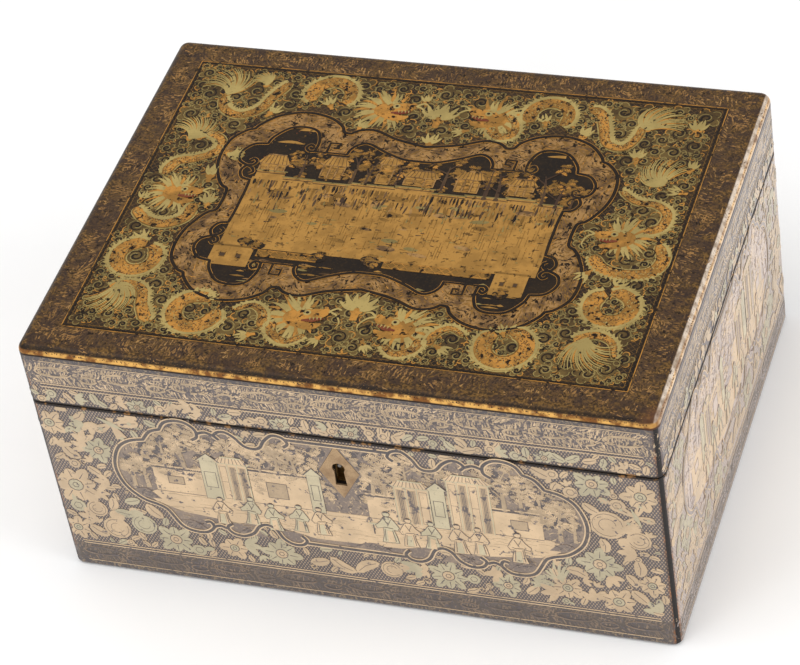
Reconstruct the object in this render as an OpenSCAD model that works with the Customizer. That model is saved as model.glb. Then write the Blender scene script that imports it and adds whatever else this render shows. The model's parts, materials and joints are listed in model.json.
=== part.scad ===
// Deed box in lacquered wood: a rectangular box with a hinged lid, a brass box lock
// in its front board and two stopped butt hinges let into the back rims.
// Millimetres. The origin is the centre of the underside, the front faces -Y.

/* [Box] */
// Width of the box, left to right
box_w = 305; // [260:1:360]
// Depth of the box, front to back
box_d = 230; // [190:1:280]
// Height of the seam between body and lid
seam_h = 110.5; // [90:0.5:140]
// Height of the lid above the seam
lid_h = 35.5; // [28:0.5:50]
// Open line between the body's rim and the lid's rim
seam_gap = 0.6; // [0.3:0.1:0.9]

/* [Boards] */
// Thickness of the side boards and of the lid's rails
wall = 9; // [8:0.25:12]
// Thickness of the base board
base_t = 7; // [5:0.5:10]
// Width of the rebate in which the base board sits
base_rebate = 4; // [2:0.5:5]
// Thickness of the lid's top board
top_t = 8; // [7:0.5:11]
// Radius of the upright corners
corner_r = 5; // [5:0.25:7]
// Radius of the rounded edge round the top board
edge_r = 4.8; // [3.5:0.1:4.8]
// Height of the top board's edge below its rounding
edge_foot = 0.6; // [0.4:0.1:1.5]
// Radius of the worn arris round the foot of the box
foot_r = 2; // [1:0.25:3]
// Radius of the eased arrises along the seam and under the top board
ease_r = 0.5; // [0.3:0.1:0.8]
// Play between boards that slot into each other
board_play = 0.15; // [0.1:0.05:0.3]

/* [Lock] */
// Place of the lock, left or right of the middle
lock_x = -2; // [-20:0.5:20]
// Distance from the seam line down to the key pin
pin_drop = 18.9; // [18:0.1:22]
// Width of the lock's plate on each side of the case
plate_lip = 6; // [5.2:0.1:8]
// Height of the lock's plate
plate_h = 33; // [32:0.5:40]
// Thickness of the lock's plate and its top flange
plate_t = 1.2; // [1:0.1:1.5]
// Thickness of the lock case's walls
case_t = 1; // [0.8:0.1:1.2]
// Free room beside the bolt inside the case
case_room = 2.1; // [1:0.1:4]
// Wood left in front of the lock case
lock_skin = 3; // [2.5:0.1:3.4]
// Thickness of the bolt and of the hooks that it catches
bolt_t = 2.2; // [1.8:0.1:2.4]
// Travel of the bolt
bolt_travel = 4.5; // [3.5:0.1:4.5]
// Radius of the key pin
key_pin_r = 1.2; // [0.9:0.1:1.4]
// Play round the working parts of the lock
lock_play = 0.6; // [0.4:0.05:0.6]
// Distance between the middles of the two hooks
hook_pitch = 34; // [33:0.5:36]
// Width of a hook's leg and of a catch's post
post_w = 3; // [2.4:0.1:3.4]
// Height of the bolt's bar
bar_h = 3.2; // [2.6:0.1:3.6]
// Reach of the key's bit from the key pin
key_reach = 8; // [7.4:0.1:8.4]
// Depth of the notch in which the bit moves the bolt
talon_deep = 1.6; // [1.2:0.1:2]
// Width of that notch
talon_w = 4; // [3:0.1:5]
// Width of the link plate beyond each hook
link_lip = 7; // [6.6:0.1:9]
// Thickness of the link plate
link_t = 1.6; // [1.2:0.1:2]
// Thickness of the spring's leaf
spring_t = 0.5; // [0.3:0.05:0.6]
// Radius of the round head of the keyhole
keyhole_r = 3.1; // [2.8:0.1:3.4]
// Distance from the key pin down to the foot of the keyhole
keyhole_drop = 11; // [9:0.5:12]
// Width of the keyhole at its foot
keyhole_foot = 5.6; // [5:0.1:6]
// Width of the keyhole's slot just under its head
keyhole_neck = 4.6; // [4.4:0.1:4.8]

/* [Escutcheon] */
// Width of the lozenge round the keyhole
lozenge_w = 19.6; // [17:0.2:24]
// Height of the lozenge round the keyhole
lozenge_h = 33.8; // [32:0.2:38]
// Distance from the key pin down to the middle of the lozenge
lozenge_drop = 2.6; // [1:0.1:4]
// Thickness of the lozenge
lozenge_t = 1; // [0.6:0.1:1.4]
// Height of the lozenge's face in front of the board
lozenge_proud = 0.15; // [0.05:0.05:0.4]

/* [Hinges] */
// Distance from each end of the box to the middle of the hinge near it
hinge_inset = 54.5; // [40:0.5:70]
// Length of each hinge
hinge_w = 42; // [36:1:50]
// Number of barrels along a hinge
hinge_barrels = 5; // [5:2:7]
// Width of a leaf inside the rim
leaf_w = 7; // [6:0.25:7.5]
// Thickness of a leaf
leaf_t = 1.8; // [1.4:0.1:2]
// Radius of the barrels
barrel_r = 2.6; // [2.3:0.1:2.8]
// Radius of the hinge pin
hinge_pin_r = 1.2; // [0.9:0.05:1.3]
// Height of the pin's domed heads
pin_head = 0.8; // [0.4:0.1:1.2]
// Radial play of the hinge pin
pin_play = 0.05; // [0.02:0.01:0.08]
// Distance of the pin's axis behind the back face
pin_proud = 0.9; // [0.7:0.1:1.5]
// Angle at which the stops of the hinges meet
open_angle = 100; // [92:1:110]
// Reach of the stop bars from the pin's axis
stop_r = 4.8; // [4.4:0.1:5.5]
// Play between the parts of a hinge
hinge_play = 0.2; // [0.15:0.05:0.3]

/* [Screws] */
// Radius of the screw heads
head_r = 2; // [1.7:0.1:2.2]
// Radius of the screw shanks
shank_r = 1; // [0.7:0.05:1.1]
// Length of the screws
screw_len = 9; // [7:0.5:11]
// Width of the slot in a screw head
slot_w = 0.6; // [0.4:0.1:0.8]
// Depth of the slot in a screw head
slot_deep = 0.5; // [0.3:0.1:0.6]
// Play round a screw
screw_play = 0.05; // [0.03:0.01:0.1]

/* [Hidden] */
$fn = 64;

// Cutters reach this far past the faces that they cut through
past = 1;
// Height of the cylinder on a screw head's rim, and room under a screw's point
head_rim = 0.3;
screw_tip = 0.5;

// Heights of the rims and of the top board
rim_z = seam_h - seam_gap / 2;
lid_rim_z = seam_h + seam_gap / 2;
top_z = seam_h + lid_h;
rail_top_z = top_z - edge_r - edge_foot;
face_y = -box_d / 2;
back_y = box_d / 2;

// Places across the lock, from the front of the box inwards
case_front_y = face_y + lock_skin + board_play;
plate_y = face_y + wall - plate_t;
works_front_y = case_front_y + case_t;
bolt_y = (works_front_y + plate_y) / 2;

// Heights inside the lock, from its flange downwards
pin_z = seam_h - pin_drop;
flange_z = rim_z - plate_t;
bar_z = pin_z + key_reach - talon_deep;
bar_top_z = bar_z + bar_h;
nose_h = (flange_z - bar_top_z - 3 * lock_play) / 2;
hook_z = bar_top_z + lock_play;
bolt_nose_z = hook_z + nose_h + lock_play;
plate_z = rim_z - plate_h;
case_foot = 2.5;
case_z = plate_z + case_foot;

// Places along the lock, from its own middle
nose_l = bolt_travel;
hook_l = nose_l + post_w;
bolt_left = -hook_pitch / 2 - hook_l / 2 - lock_play - nose_l - post_w;
case_w = 2 * (-bolt_left + case_room + case_t);
plate_w = case_w + 2 * plate_lip;
bolt_right = case_w / 2 - case_t - lock_play - bolt_travel;
lock_screw_x = (case_w + plate_lip) / 2;
lock_screw_len = wall - lock_skin + 1;
lozenge_z = pin_z - lozenge_drop;
lock_screw_in = 2 * head_r;
lock_screw_z = [plate_z + lock_screw_in, rim_z - plate_t - lock_screw_in];
link_w = hook_pitch + hook_l + 2 * link_lip;
link_screw_x = (link_w - link_lip) / 2;
link_y = (case_front_y + face_y + wall) / 2;

// Places of the hinges
hinge_x = box_w / 2 - hinge_inset;
pin_y = back_y + pin_proud;
leaf_in_y = back_y - leaf_w;
leaf_screw_y = back_y - leaf_w / 2 - 0.2;
barrel_w = hinge_w / hinge_barrels;
leaf_screw_pitch = hinge_w / 3;

// A square-edged section with its lower and upper corners rounded
module section(half, z_low, z_high, low_r, high_r) {
    difference() {
        translate([-half, z_low]) square([2 * half, z_high - z_low]);
        for (side = [-1, 1]) {
            if (low_r > 0) {
                round_off(side, half, z_low, low_r, 1);
            }
            if (high_r > 0) {
                round_off(side, half, z_high, high_r, -1);
            }
        }
    }
}

// What a rounding of radius r takes off one corner of a section
module round_off(side, half, z, r, up) {
    difference() {
        translate([side * (half + past - r / 2 - past / 2), z + up * (r - past) / 2])
            square([r + past, r + past], center = true);
        translate([side * (half - r), z + up * r]) circle(r);
    }
}

// A block with four rounded upright corners and rounded arrises above and below
module rounded_block(w, d, z_low, z_high, low_r, high_r) {
    rotate([90, 0, 90])
        linear_extrude(w - 2 * corner_r, center = true)
            section(d / 2, z_low, z_high, low_r, high_r);
    rotate([90, 0, 0])
        linear_extrude(d - 2 * corner_r, center = true)
            section(w / 2, z_low, z_high, low_r, high_r);
    for (turn = [0, 1, 2, 3]) {
        sx = (turn == 0 || turn == 3) ? 1 : -1;
        sy = turn < 2 ? 1 : -1;
        translate([sx * (w / 2 - corner_r), sy * (d / 2 - corner_r), 0])
            rotate([0, 0, 90 * turn])
                rotate_extrude(angle = 90)
                    intersection() {
                        section(corner_r, z_low, z_high, low_r, high_r);
                        translate([0, z_low]) square([corner_r, z_high - z_low]);
                    }
    }
}

// The part of a four-sided frame that one board takes, cut along the mitres
module mitred(side, z_low, z_high) {
    long = (side == "front" || side == "back") ? box_w / 2 : box_d / 2;
    short = (side == "front" || side == "back") ? box_d / 2 : box_w / 2;
    turn = side == "front" ? 0 : side == "right" ? 90 : side == "back" ? 180 : 270;
    intersection() {
        children();
        rotate([0, 0, turn])
            translate([0, 0, z_low - past])
                linear_extrude(z_high - z_low + 2 * past)
                    polygon([[-long - past, -short - past], [long + past, -short - past],
                             [long - wall - past, -short + wall + past],
                             [-long + wall + past, -short + wall + past]]);
    }
}

// The four body boards as one frame, with the rebate for the base
module body_frame() {
    difference() {
        rounded_block(box_w, box_d, 0, rim_z, foot_r, ease_r);
        translate([-box_w / 2 + wall, -box_d / 2 + wall, -past])
            cube([box_w - 2 * wall, box_d - 2 * wall, rim_z + 2 * past]);
        translate([-box_w / 2 + wall - base_rebate, -box_d / 2 + wall - base_rebate, -past])
            cube([box_w - 2 * wall + 2 * base_rebate, box_d - 2 * wall + 2 * base_rebate,
                  past + base_t + board_play]);
    }
}

// The four rails of the lid as one frame
module lid_frame() {
    difference() {
        rounded_block(box_w, box_d, lid_rim_z, rail_top_z, ease_r, ease_r);
        translate([-box_w / 2 + wall, -box_d / 2 + wall, lid_rim_z - past])
            cube([box_w - 2 * wall, box_d - 2 * wall, rail_top_z - lid_rim_z + 2 * past]);
    }
}

// The keyhole as seen from the front, grown by extra all round
module keyhole(extra) {
    circle(keyhole_r + extra);
    polygon([[-keyhole_neck / 2 - extra, 0], [keyhole_neck / 2 + extra, 0],
             [keyhole_foot / 2 + extra, -keyhole_drop - extra],
             [-keyhole_foot / 2 - extra, -keyhole_drop - extra]]);
}

// The lozenge as seen from the front, grown by extra
module lozenge(extra) {
    grow_w = lozenge_w / 2 + extra;
    grow_h = lozenge_h / 2 + extra * lozenge_h / lozenge_w;
    polygon([[-grow_w, 0], [0, -grow_h], [grow_w, 0], [0, grow_h]]);
}

// Stands a front view up in the box, from y_low to y_high
module across(y_low, y_high) {
    translate([lock_x, y_high, 0])
        rotate([90, 0, 0])
            linear_extrude(y_high - y_low) children();
}

// A slotted countersunk screw whose head lies at the origin and points up
module screw(length) {
    difference() {
        rotate_extrude()
            polygon([[0, 0], [head_r, 0], [head_r, -head_rim], [shank_r, -head_rim - (head_r - shank_r)],
                     [shank_r, -length + shank_r], [0, -length]]);
        translate([-head_r - past, -slot_w / 2, -slot_deep])
            cube([2 * head_r + 2 * past, slot_w, slot_deep + past]);
    }
}

// The hole that takes a screw, with play all round
module screw_hole(length) {
    wide = head_r + screw_play;
    thin = shank_r + screw_play;
    rotate_extrude()
        polygon([[0, past], [wide, past], [wide, -head_rim - screw_play],
                 [thin, -head_rim - screw_play - (head_r - shank_r)],
                 [thin, -length - screw_play], [0, -length - screw_play]]);
}

// Places the lock plate's screws, which point at the front of the box
module at_lock_screws() {
    for (side = [-1, 1]) {
        for (z = lock_screw_z) {
            translate([lock_x + side * lock_screw_x, plate_y + plate_t, z])
                rotate([-90, 0, 0]) children();
        }
    }
}

// Places the link plate's screws, which point up into the lid
module at_link_screws() {
    for (side = [-1, 1]) {
        translate([lock_x + side * link_screw_x, link_y, lid_rim_z])
            rotate([180, 0, 0]) children();
    }
}

// Places the screws of one hinge leaf; up is 1 for the body's leaf and -1 for the lid's
module at_leaf_screws(middle, up) {
    for (step = [-1, 0, 1]) {
        translate([middle + step * leaf_screw_pitch, leaf_screw_y,
                   seam_h - up * seam_gap / 2])
            rotate([up > 0 ? 0 : 180, 0, 0]) children();
    }
}

// The recess for one hinge leaf, its barrels and its stop bar
module hinge_gain(middle, up) {
    half = hinge_w / 2 + board_play;
    low = up > 0 ? seam_h - seam_gap / 2 - leaf_t - board_play : seam_h;
    translate([middle - half, leaf_in_y - board_play, low])
        cube([2 * half, leaf_w + board_play + past, leaf_t + board_play + seam_gap / 2]);
    translate([middle - half - pin_head, pin_y, seam_h])
        rotate([0, 90, 0]) cylinder(h = 2 * (half + pin_head), r = barrel_r + hinge_play);
}

// Seen from the right, the stop bar of a leaf, on rays from the pin's axis
module stop_bar(up) {
    steep = open_angle / 2 + asin(hinge_play / 2 / stop_r);
    intersection() {
        circle(stop_r);
        polygon([[0, 0], [2 * stop_r * cos(steep), -up * 2 * stop_r * sin(steep)],
                 [-pin_proud, -up * 2 * stop_r], [-pin_proud, -up * barrel_r / 2]]);
    }
}

// One leaf; up is 1 for the body's leaf and -1 for the lid's
module hinge_leaf(middle, up) {
    half = hinge_w / 2;
    low = up > 0 ? -seam_gap / 2 - leaf_t : seam_gap / 2;
    translate([middle, pin_y, seam_h]) {
        difference() {
            union() {
                // the flat leaf
                translate([-half, leaf_in_y - pin_y, low])
                    cube([hinge_w, pin_y - leaf_in_y, leaf_t]);
                // its barrels and its stop bar
                rotate([90, 0, 90]) {
                    translate([0, 0, -half]) linear_extrude(hinge_w) stop_bar(up);
                    for (n = own_barrels(up)) {
                        translate([0, 0, -half + n * barrel_w + hinge_play / 2])
                            cylinder(h = barrel_w - hinge_play, r = barrel_r);
                    }
                }
            }
            // room for the other leaf's barrels
            rotate([90, 0, 90]) {
                for (n = own_barrels(-up)) {
                    translate([0, 0, -half + n * barrel_w - hinge_play / 2])
                        cylinder(h = barrel_w + hinge_play, r = barrel_r + hinge_play);
                }
                translate([0, 0, -half - past])
                    cylinder(h = hinge_w + 2 * past, r = hinge_pin_r + pin_play);
            }
        }
    }
}

// The body's leaf has the outer barrels, the lid's leaf has those between them
function own_barrels(up) = [for (n = [0 : hinge_barrels - 1]) if ((n % 2 == 0) == (up > 0)) n];

// A hinge pin with a low domed head at each end
module hinge_pin(middle) {
    crown_r = hinge_pin_r * 0.8;
    rim_r = hinge_pin_r * 1.5;
    rim_h = pin_head * 0.4;
    low = -pin_play;
    high = hinge_w + pin_play;
    translate([middle - hinge_w / 2, pin_y, seam_h])
        rotate([90, 0, 90])
            rotate_extrude()
                polygon([[0, -pin_head], [crown_r, -pin_head], [rim_r, -rim_h], [rim_r, low],
                         [hinge_pin_r, low], [hinge_pin_r, high], [rim_r, high],
                         [rim_r, hinge_w + rim_h], [crown_r, hinge_w + pin_head],
                         [0, hinge_w + pin_head]]);
}

// One hook of the link plate, seen from the front: a leg with a nose at its foot
module hook_outline(middle) {
    left = middle - hook_l / 2;
    translate([left + nose_l, hook_z]) square([post_w, lid_rim_z + link_t / 2 - hook_z]);
    translate([left, hook_z]) square([hook_l, nose_h]);
}

// One catch of the bolt, seen from the front: a post with a nose at its head
module catch_outline(middle) {
    tip = middle - hook_l / 2 - lock_play;
    translate([tip - nose_l - post_w, bar_z]) square([post_w, bolt_nose_z + nose_h - bar_z]);
    translate([tip - nose_l - post_w, bolt_nose_z]) square([nose_l + post_w, nose_h]);
}

module base_board() {
    out = wall - base_rebate + board_play;
    color([0.16, 0.12, 0.1])
        translate([-box_w / 2 + out, -box_d / 2 + out, 0])
            cube([box_w - 2 * out, box_d - 2 * out, base_t]);
}

module front_board() {
    color([0.33, 0.29, 0.28])
        difference() {
            mitred("front", 0, rim_z) body_frame();
            // mortise for the lock case
            translate([lock_x - case_w / 2 - board_play, case_front_y - board_play,
                       case_z - board_play])
                cube([case_w + 2 * board_play, wall, rim_z]);
            // rebate for the lock plate and its flange
            translate([lock_x - plate_w / 2 - board_play, plate_y - board_play,
                       plate_z - board_play])
                cube([plate_w + 2 * board_play, wall, rim_z]);
            translate([lock_x - plate_w / 2 - board_play, case_front_y - board_play,
                       flange_z - board_play])
                cube([plate_w + 2 * board_play, wall, rim_z]);
            // recess for the lozenge, and the keyhole behind it
            across(face_y - past, face_y + lozenge_t - lozenge_proud + screw_play)
                translate([0, lozenge_z]) lozenge(board_play);
            across(face_y - past, case_front_y + past)
                translate([0, pin_z]) keyhole(board_play);
            at_lock_screws() screw_hole(lock_screw_len);
        }
}

module back_board() {
    color([0.3, 0.25, 0.22])
        difference() {
            mitred("back", 0, rim_z) body_frame();
            for (side = [-1, 1]) {
                hinge_gain(side * hinge_x, 1);
                at_leaf_screws(side * hinge_x, 1) screw_hole(screw_len);
            }
        }
}

module left_board() {
    color([0.3, 0.25, 0.22]) mitred("left", 0, rim_z) body_frame();
}

module right_board() {
    color([0.3, 0.25, 0.22]) mitred("right", 0, rim_z) body_frame();
}

module lid_top_board() {
    inset = wall + board_play;
    color([0.45, 0.33, 0.16]) {
        rounded_block(box_w, box_d, rail_top_z, top_z, 0, edge_r);
        translate([-box_w / 2 + inset, -box_d / 2 + inset, top_z - top_t])
            cube([box_w - 2 * inset, box_d - 2 * inset, top_t / 2]);
    }
}

module lid_front_rail() {
    color([0.38, 0.31, 0.24])
        difference() {
            mitred("front", lid_rim_z, rail_top_z) lid_frame();
            // recess for the link plate
            translate([lock_x - link_w / 2 - board_play, case_front_y - board_play,
                       lid_rim_z - past])
                cube([link_w + 2 * board_play, wall, link_t + board_play + past]);
            at_link_screws() screw_hole(screw_len);
        }
}

module lid_back_rail() {
    color([0.38, 0.31, 0.24])
        difference() {
            mitred("back", lid_rim_z, rail_top_z) lid_frame();
            for (side = [-1, 1]) {
                hinge_gain(side * hinge_x, -1);
                at_leaf_screws(side * hinge_x, -1) screw_hole(screw_len);
            }
        }
}

module lid_left_rail() {
    color([0.38, 0.31, 0.24]) mitred("left", lid_rim_z, rail_top_z) lid_frame();
}

module lid_right_rail() {
    color([0.38, 0.31, 0.24]) mitred("right", lid_rim_z, rail_top_z) lid_frame();
}

module escutcheon() {
    color([0.72, 0.62, 0.42])
        difference() {
            across(face_y - lozenge_proud, face_y + lozenge_t - lozenge_proud)
                translate([0, lozenge_z]) lozenge(0);
            across(face_y - past, face_y + lozenge_t + past)
                translate([0, pin_z]) keyhole(0);
        }
}

// The plate on the inner face, with its flange along the rim
module lock_plate() {
    color([0.75, 0.6, 0.3])
        difference() {
            union() {
                translate([lock_x - plate_w / 2, plate_y, plate_z])
                    cube([plate_w, plate_t, plate_h]);
                translate([lock_x - plate_w / 2, case_front_y, flange_z])
                    cube([plate_w, face_y + wall - case_front_y, plate_t]);
            }
            // slots for the two hooks
            for (side = [-1, 1]) {
                translate([lock_x + side * hook_pitch / 2 - hook_l / 2 - lock_play,
                           bolt_y - bolt_t / 2 - lock_play, flange_z - past])
                    cube([hook_l + 2 * lock_play, bolt_t + 2 * lock_play, plate_t + 2 * past]);
            }
            translate([lock_x, plate_y - past, pin_z])
                rotate([-90, 0, 0]) cylinder(h = plate_t + 2 * past, r = key_pin_r + screw_play);
            at_lock_screws() screw_hole(wall);
        }
}

// The shallow case behind the keyhole, with the ledges that carry the bolt
module lock_case() {
    inner = case_w / 2 - case_t;
    ledge_t = 1.4;
    ledge_gap = 0.1;
    ledge_in = key_reach + 2 * lock_play;
    color([0.6, 0.48, 0.26])
        difference() {
            translate([lock_x - case_w / 2, case_front_y, case_z])
                cube([case_w, plate_y - case_front_y, flange_z - case_z]);
            difference() {
                translate([lock_x - inner, works_front_y, case_z + case_t])
                    cube([2 * inner, wall, flange_z - case_z]);
                for (side = [-1, 1]) {
                    translate([lock_x + (side > 0 ? ledge_in : -inner - past), works_front_y - past,
                               bar_z - ledge_gap - ledge_t])
                        cube([inner + past - ledge_in, wall, ledge_t]);
                }
            }
            across(face_y, works_front_y + past / 2)
                translate([0, pin_z]) keyhole(0);
        }
}

module lock_bolt() {
    color([0.55, 0.45, 0.25])
        across(bolt_y - bolt_t / 2, bolt_y + bolt_t / 2)
            difference() {
                union() {
                    translate([bolt_left, bar_z]) square([bolt_right - bolt_left, bar_h]);
                    for (side = [-1, 1]) {
                        catch_outline(side * hook_pitch / 2);
                    }
                }
                translate([-talon_w / 2 - bolt_travel / 2, bar_z - past])
                    square([talon_w, past + talon_deep]);
            }
}

// The fixed pin that the key's bored end turns on
module key_pin() {
    bevel = 0.4;
    reach = wall - lozenge_t - bevel;
    color([0.5, 0.5, 0.5])
        translate([lock_x, face_y + wall, pin_z])
            rotate([90, 0, 0])
                rotate_extrude()
                    polygon([[0, 0], [key_pin_r, 0], [key_pin_r, reach - bevel],
                             [key_pin_r - bevel, reach], [0, reach]]);
}

// The leaf spring that presses on the bolt's bar
module lock_spring() {
    spring_gap = 0.2;
    spring_r = flange_z - bar_top_z - 2 * spring_gap - 0.1;
    wall_x = case_w / 2 - case_t - 0.1;
    color([0.45, 0.45, 0.47])
        across(bolt_y - bolt_t / 2, bolt_y + bolt_t / 2)
            translate([wall_x - spring_r, bar_top_z + spring_gap + spring_r])
                intersection() {
                    difference() {
                        circle(spring_r);
                        circle(spring_r - spring_t);
                    }
                    translate([-spring_t, -spring_r - past])
                        square([spring_r + past, spring_r + past]);
                }
}

module lock_screws() {
    color([0.75, 0.6, 0.3]) at_lock_screws() screw(lock_screw_len - screw_play);
}

// The plate in the lid's front rim, with the two hooks that the bolt catches
module link_plate() {
    color([0.75, 0.6, 0.3]) {
        difference() {
            translate([lock_x - link_w / 2, case_front_y, lid_rim_z])
                cube([link_w, face_y + wall - case_front_y, link_t]);
            at_link_screws() screw_hole(screw_len);
        }
        across(bolt_y - bolt_t / 2, bolt_y + bolt_t / 2)
            for (side = [-1, 1]) {
                hook_outline(side * hook_pitch / 2);
            }
    }
}

module link_screws() {
    color([0.75, 0.6, 0.3]) at_link_screws() screw(screw_len - screw_tip);
}

module left_hinge_body_leaf() {
    color([0.72, 0.58, 0.3]) hinge_leaf_bored(-hinge_x, 1);
}

module left_hinge_lid_leaf() {
    color([0.72, 0.58, 0.3]) hinge_leaf_bored(-hinge_x, -1);
}

module right_hinge_body_leaf() {
    color([0.72, 0.58, 0.3]) hinge_leaf_bored(hinge_x, 1);
}

module right_hinge_lid_leaf() {
    color([0.72, 0.58, 0.3]) hinge_leaf_bored(hinge_x, -1);
}

module hinge_leaf_bored(middle, up) {
    difference() {
        hinge_leaf(middle, up);
        at_leaf_screws(middle, up) screw_hole(screw_len);
    }
}

module left_hinge_pin() {
    color([0.6, 0.5, 0.28]) hinge_pin(-hinge_x);
}

module right_hinge_pin() {
    color([0.6, 0.5, 0.28]) hinge_pin(hinge_x);
}

module hinge_body_screws() {
    color([0.7, 0.56, 0.3])
        for (side = [-1, 1]) {
            at_leaf_screws(side * hinge_x, 1) screw(screw_len - screw_tip);
        }
}

module hinge_lid_screws() {
    color([0.7, 0.56, 0.3])
        for (side = [-1, 1]) {
            at_leaf_screws(side * hinge_x, -1) screw(screw_len - screw_tip);
        }
}

base_board();
front_board();
back_board();
left_board();
right_board();
lid_top_board();
lid_front_rail();
lid_back_rail();
lid_left_rail();
lid_right_rail();
escutcheon();
lock_plate();
lock_case();
lock_bolt();
key_pin();
lock_spring();
lock_screws();
link_plate();
link_screws();
left_hinge_body_leaf();
left_hinge_lid_leaf();
left_hinge_pin();
right_hinge_body_leaf();
right_hinge_lid_leaf();
right_hinge_pin();
hinge_body_screws();
hinge_lid_screws();
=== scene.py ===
"""Deed box: aged black-brown lacquer with gilt relief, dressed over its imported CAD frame."""

import json
import math
import random

import bpy
import numpy as np
from bpy.props import FloatProperty, FloatVectorProperty, IntProperty, PointerProperty
from mathutils import Matrix, Vector


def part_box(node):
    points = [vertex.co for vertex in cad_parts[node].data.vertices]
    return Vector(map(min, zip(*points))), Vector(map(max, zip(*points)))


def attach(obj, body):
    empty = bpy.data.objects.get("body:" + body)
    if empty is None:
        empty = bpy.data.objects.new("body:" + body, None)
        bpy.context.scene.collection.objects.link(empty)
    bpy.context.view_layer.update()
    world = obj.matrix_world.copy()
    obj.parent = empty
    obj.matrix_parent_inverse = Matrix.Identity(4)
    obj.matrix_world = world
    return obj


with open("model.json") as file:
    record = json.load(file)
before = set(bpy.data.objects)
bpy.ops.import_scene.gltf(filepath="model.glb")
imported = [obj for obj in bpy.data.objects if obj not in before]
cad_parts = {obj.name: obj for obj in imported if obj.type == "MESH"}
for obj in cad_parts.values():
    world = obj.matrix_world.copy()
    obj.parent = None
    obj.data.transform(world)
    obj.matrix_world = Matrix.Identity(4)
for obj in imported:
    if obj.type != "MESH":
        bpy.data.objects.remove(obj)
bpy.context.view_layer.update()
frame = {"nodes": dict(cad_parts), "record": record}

bl_info = {
    "name": "Gilt deed box",
    "version": (1, 0, 0),
    "blender": (4, 5, 0),
    "location": "3D View > Sidebar > Deed box",
    "description": "Dresses the deed box's frame with lacquer, gilt relief, brass and a plain stage",
    "category": "Object",
}

# Lengths on the faces are in millimetres. The frame gives the box's own sizes.
MM = 0.001
HALF_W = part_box("right_board")[1].x / MM
HALF_D = -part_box("front_board")[0].y / MM
RIM_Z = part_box("front_board")[1].z / MM
LID_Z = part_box("lid_front_rail")[0].z / MM
TOP_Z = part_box("lid_top_board")[1].z / MM
KEY_LOW, KEY_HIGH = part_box("escutcheon")
HINGE_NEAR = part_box("right_hinge_body_leaf")[0].x / MM
HINGE_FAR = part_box("right_hinge_body_leaf")[1].x / MM
HINGE_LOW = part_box("right_hinge_body_leaf")[0].z / MM
HINGE_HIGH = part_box("right_hinge_lid_leaf")[1].z / MM
KEY_MID = ((KEY_LOW.x + KEY_HIGH.x) / 2 / MM, (KEY_LOW.z + KEY_HIGH.z) / 2 / MM)
KEY_HALF = ((KEY_HIGH.x - KEY_LOW.x) / 2 / MM, (KEY_HIGH.z - KEY_LOW.z) / 2 / MM)
CORNER_R = 5.0
EDGE_R = 4.8

# Frame lines of the lid's top, and the middles of the lid's and the sides' cartouches.
FRAME_U = 134.0
FRAME_V = 97.2
TOP_MID = (-2.5, -1.7)
FRONT_MID = -0.9

# Heights on the sides. A pair is the middle and the half height of a strip of lacquer.
FIELD_LOW = 18.4
SEAM_Z = 110.5
STRIP_TOP = 121.2
BAND_TOP = 138.0
FOOT_PLAIN = (0.0, 4.4)
FOOT_GROUND = (10.4, 6.0)
LID_GROUND = (130.7, 7.0)
LID_PLAIN = (139.4, 1.5)

# Heights between which one tone changes into the next, at the foot band and on the lid board's edge.
FOOT_FADE = (16.0, 17.0)
UNDERSIDE = 140.5
# Between these heights the board's edge is painted dark: painted shade in the quirk below the gilt edge.
QUIRK_SHADE = (141.3, 142.0)
GILT_EDGE = (143.7, 144.7)

# Before a mesh is bent onto its face, a point's height is its level times this, with a small offset.
LEVEL_CODE = 0.05

# Level of a motif's main strokes. The lines on them lie higher.
MOTIF = 2


def linear(red, green, blue):
    """A screen colour, 0 to 255, as linear light."""
    def one(value):
        value /= 255.0
        return value / 12.92 if value <= 0.04045 else ((value + 0.055) / 1.055) ** 2.4
    return (one(red), one(green), one(blue))


# Sizes and colours that a user would change.

def colour(name, description, *screen):
    return FloatVectorProperty(name=name, description=description, subtype="COLOR", size=3,
                               min=0.0, max=1.0, default=linear(*screen))


class DeedBoxColours(bpy.types.PropertyGroup):
    top_lacquer: colour("Lid lacquer", "Ground of the lid's top", 34, 25, 18)
    # The sides' ground is lighter and greyer than the lid's lacquer: partly its own tone, partly painted
    # reflection haze added to the coat's real reflection.
    side_lacquer: colour("Side lacquer", "Hazy ground of the four sides", 86, 75, 75)
    # Painted sheen: a pale tone mixed into the ground and the dark tones of the two ends, in place of the
    # reflection of light on their lacquer, not a bloom of the lacquer.
    painted_sheen: colour("Haze", "Pale bloom on the lacquer of the two ends", 212, 192, 182)
    inner_lacquer: colour("Inner lacquer", "Plain black inside and on the rims", 26, 21, 19)
    gold: colour("Gold", "Main gilding of the lid", 176, 131, 66)
    green_gold: colour("Green gold", "Pale greenish gilding of the lid", 172, 150, 92)
    peach_gold: colour("Peach gold", "Main gilding of the sides", 210, 180, 141)
    sage_gold: colour("Sage gold", "Pale greenish gilding of the sides", 192, 178, 144)
    brass: colour("Brass", "Hinges and lock", 176, 140, 84)
    escutcheon: colour("Escutcheon", "Dull rubbed brass of the keyhole plate", 178, 150, 116)


class DeedBoxRelief(bpy.types.PropertyGroup):
    rise: FloatProperty(name="Rise", description="How far a broad stroke stands off the lacquer",
                        default=0.00005, min=0.00002, max=0.0005, precision=5, unit="LENGTH")
    step: FloatProperty(name="Step", description="Rise of one layer of gilding over the next",
                        default=0.00008, min=0.00002, max=0.0003, precision=5, unit="LENGTH")
    foliage_gap: FloatProperty(name="Foliage gap",
                               description="Distance between the strokes of the foliage bands",
                               default=0.0015, min=0.0008, max=0.005, precision=4, unit="LENGTH")
    seed: IntProperty(name="Seed", description="Start of the random places of the lid's clouds",
                      default=11, min=0)


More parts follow.
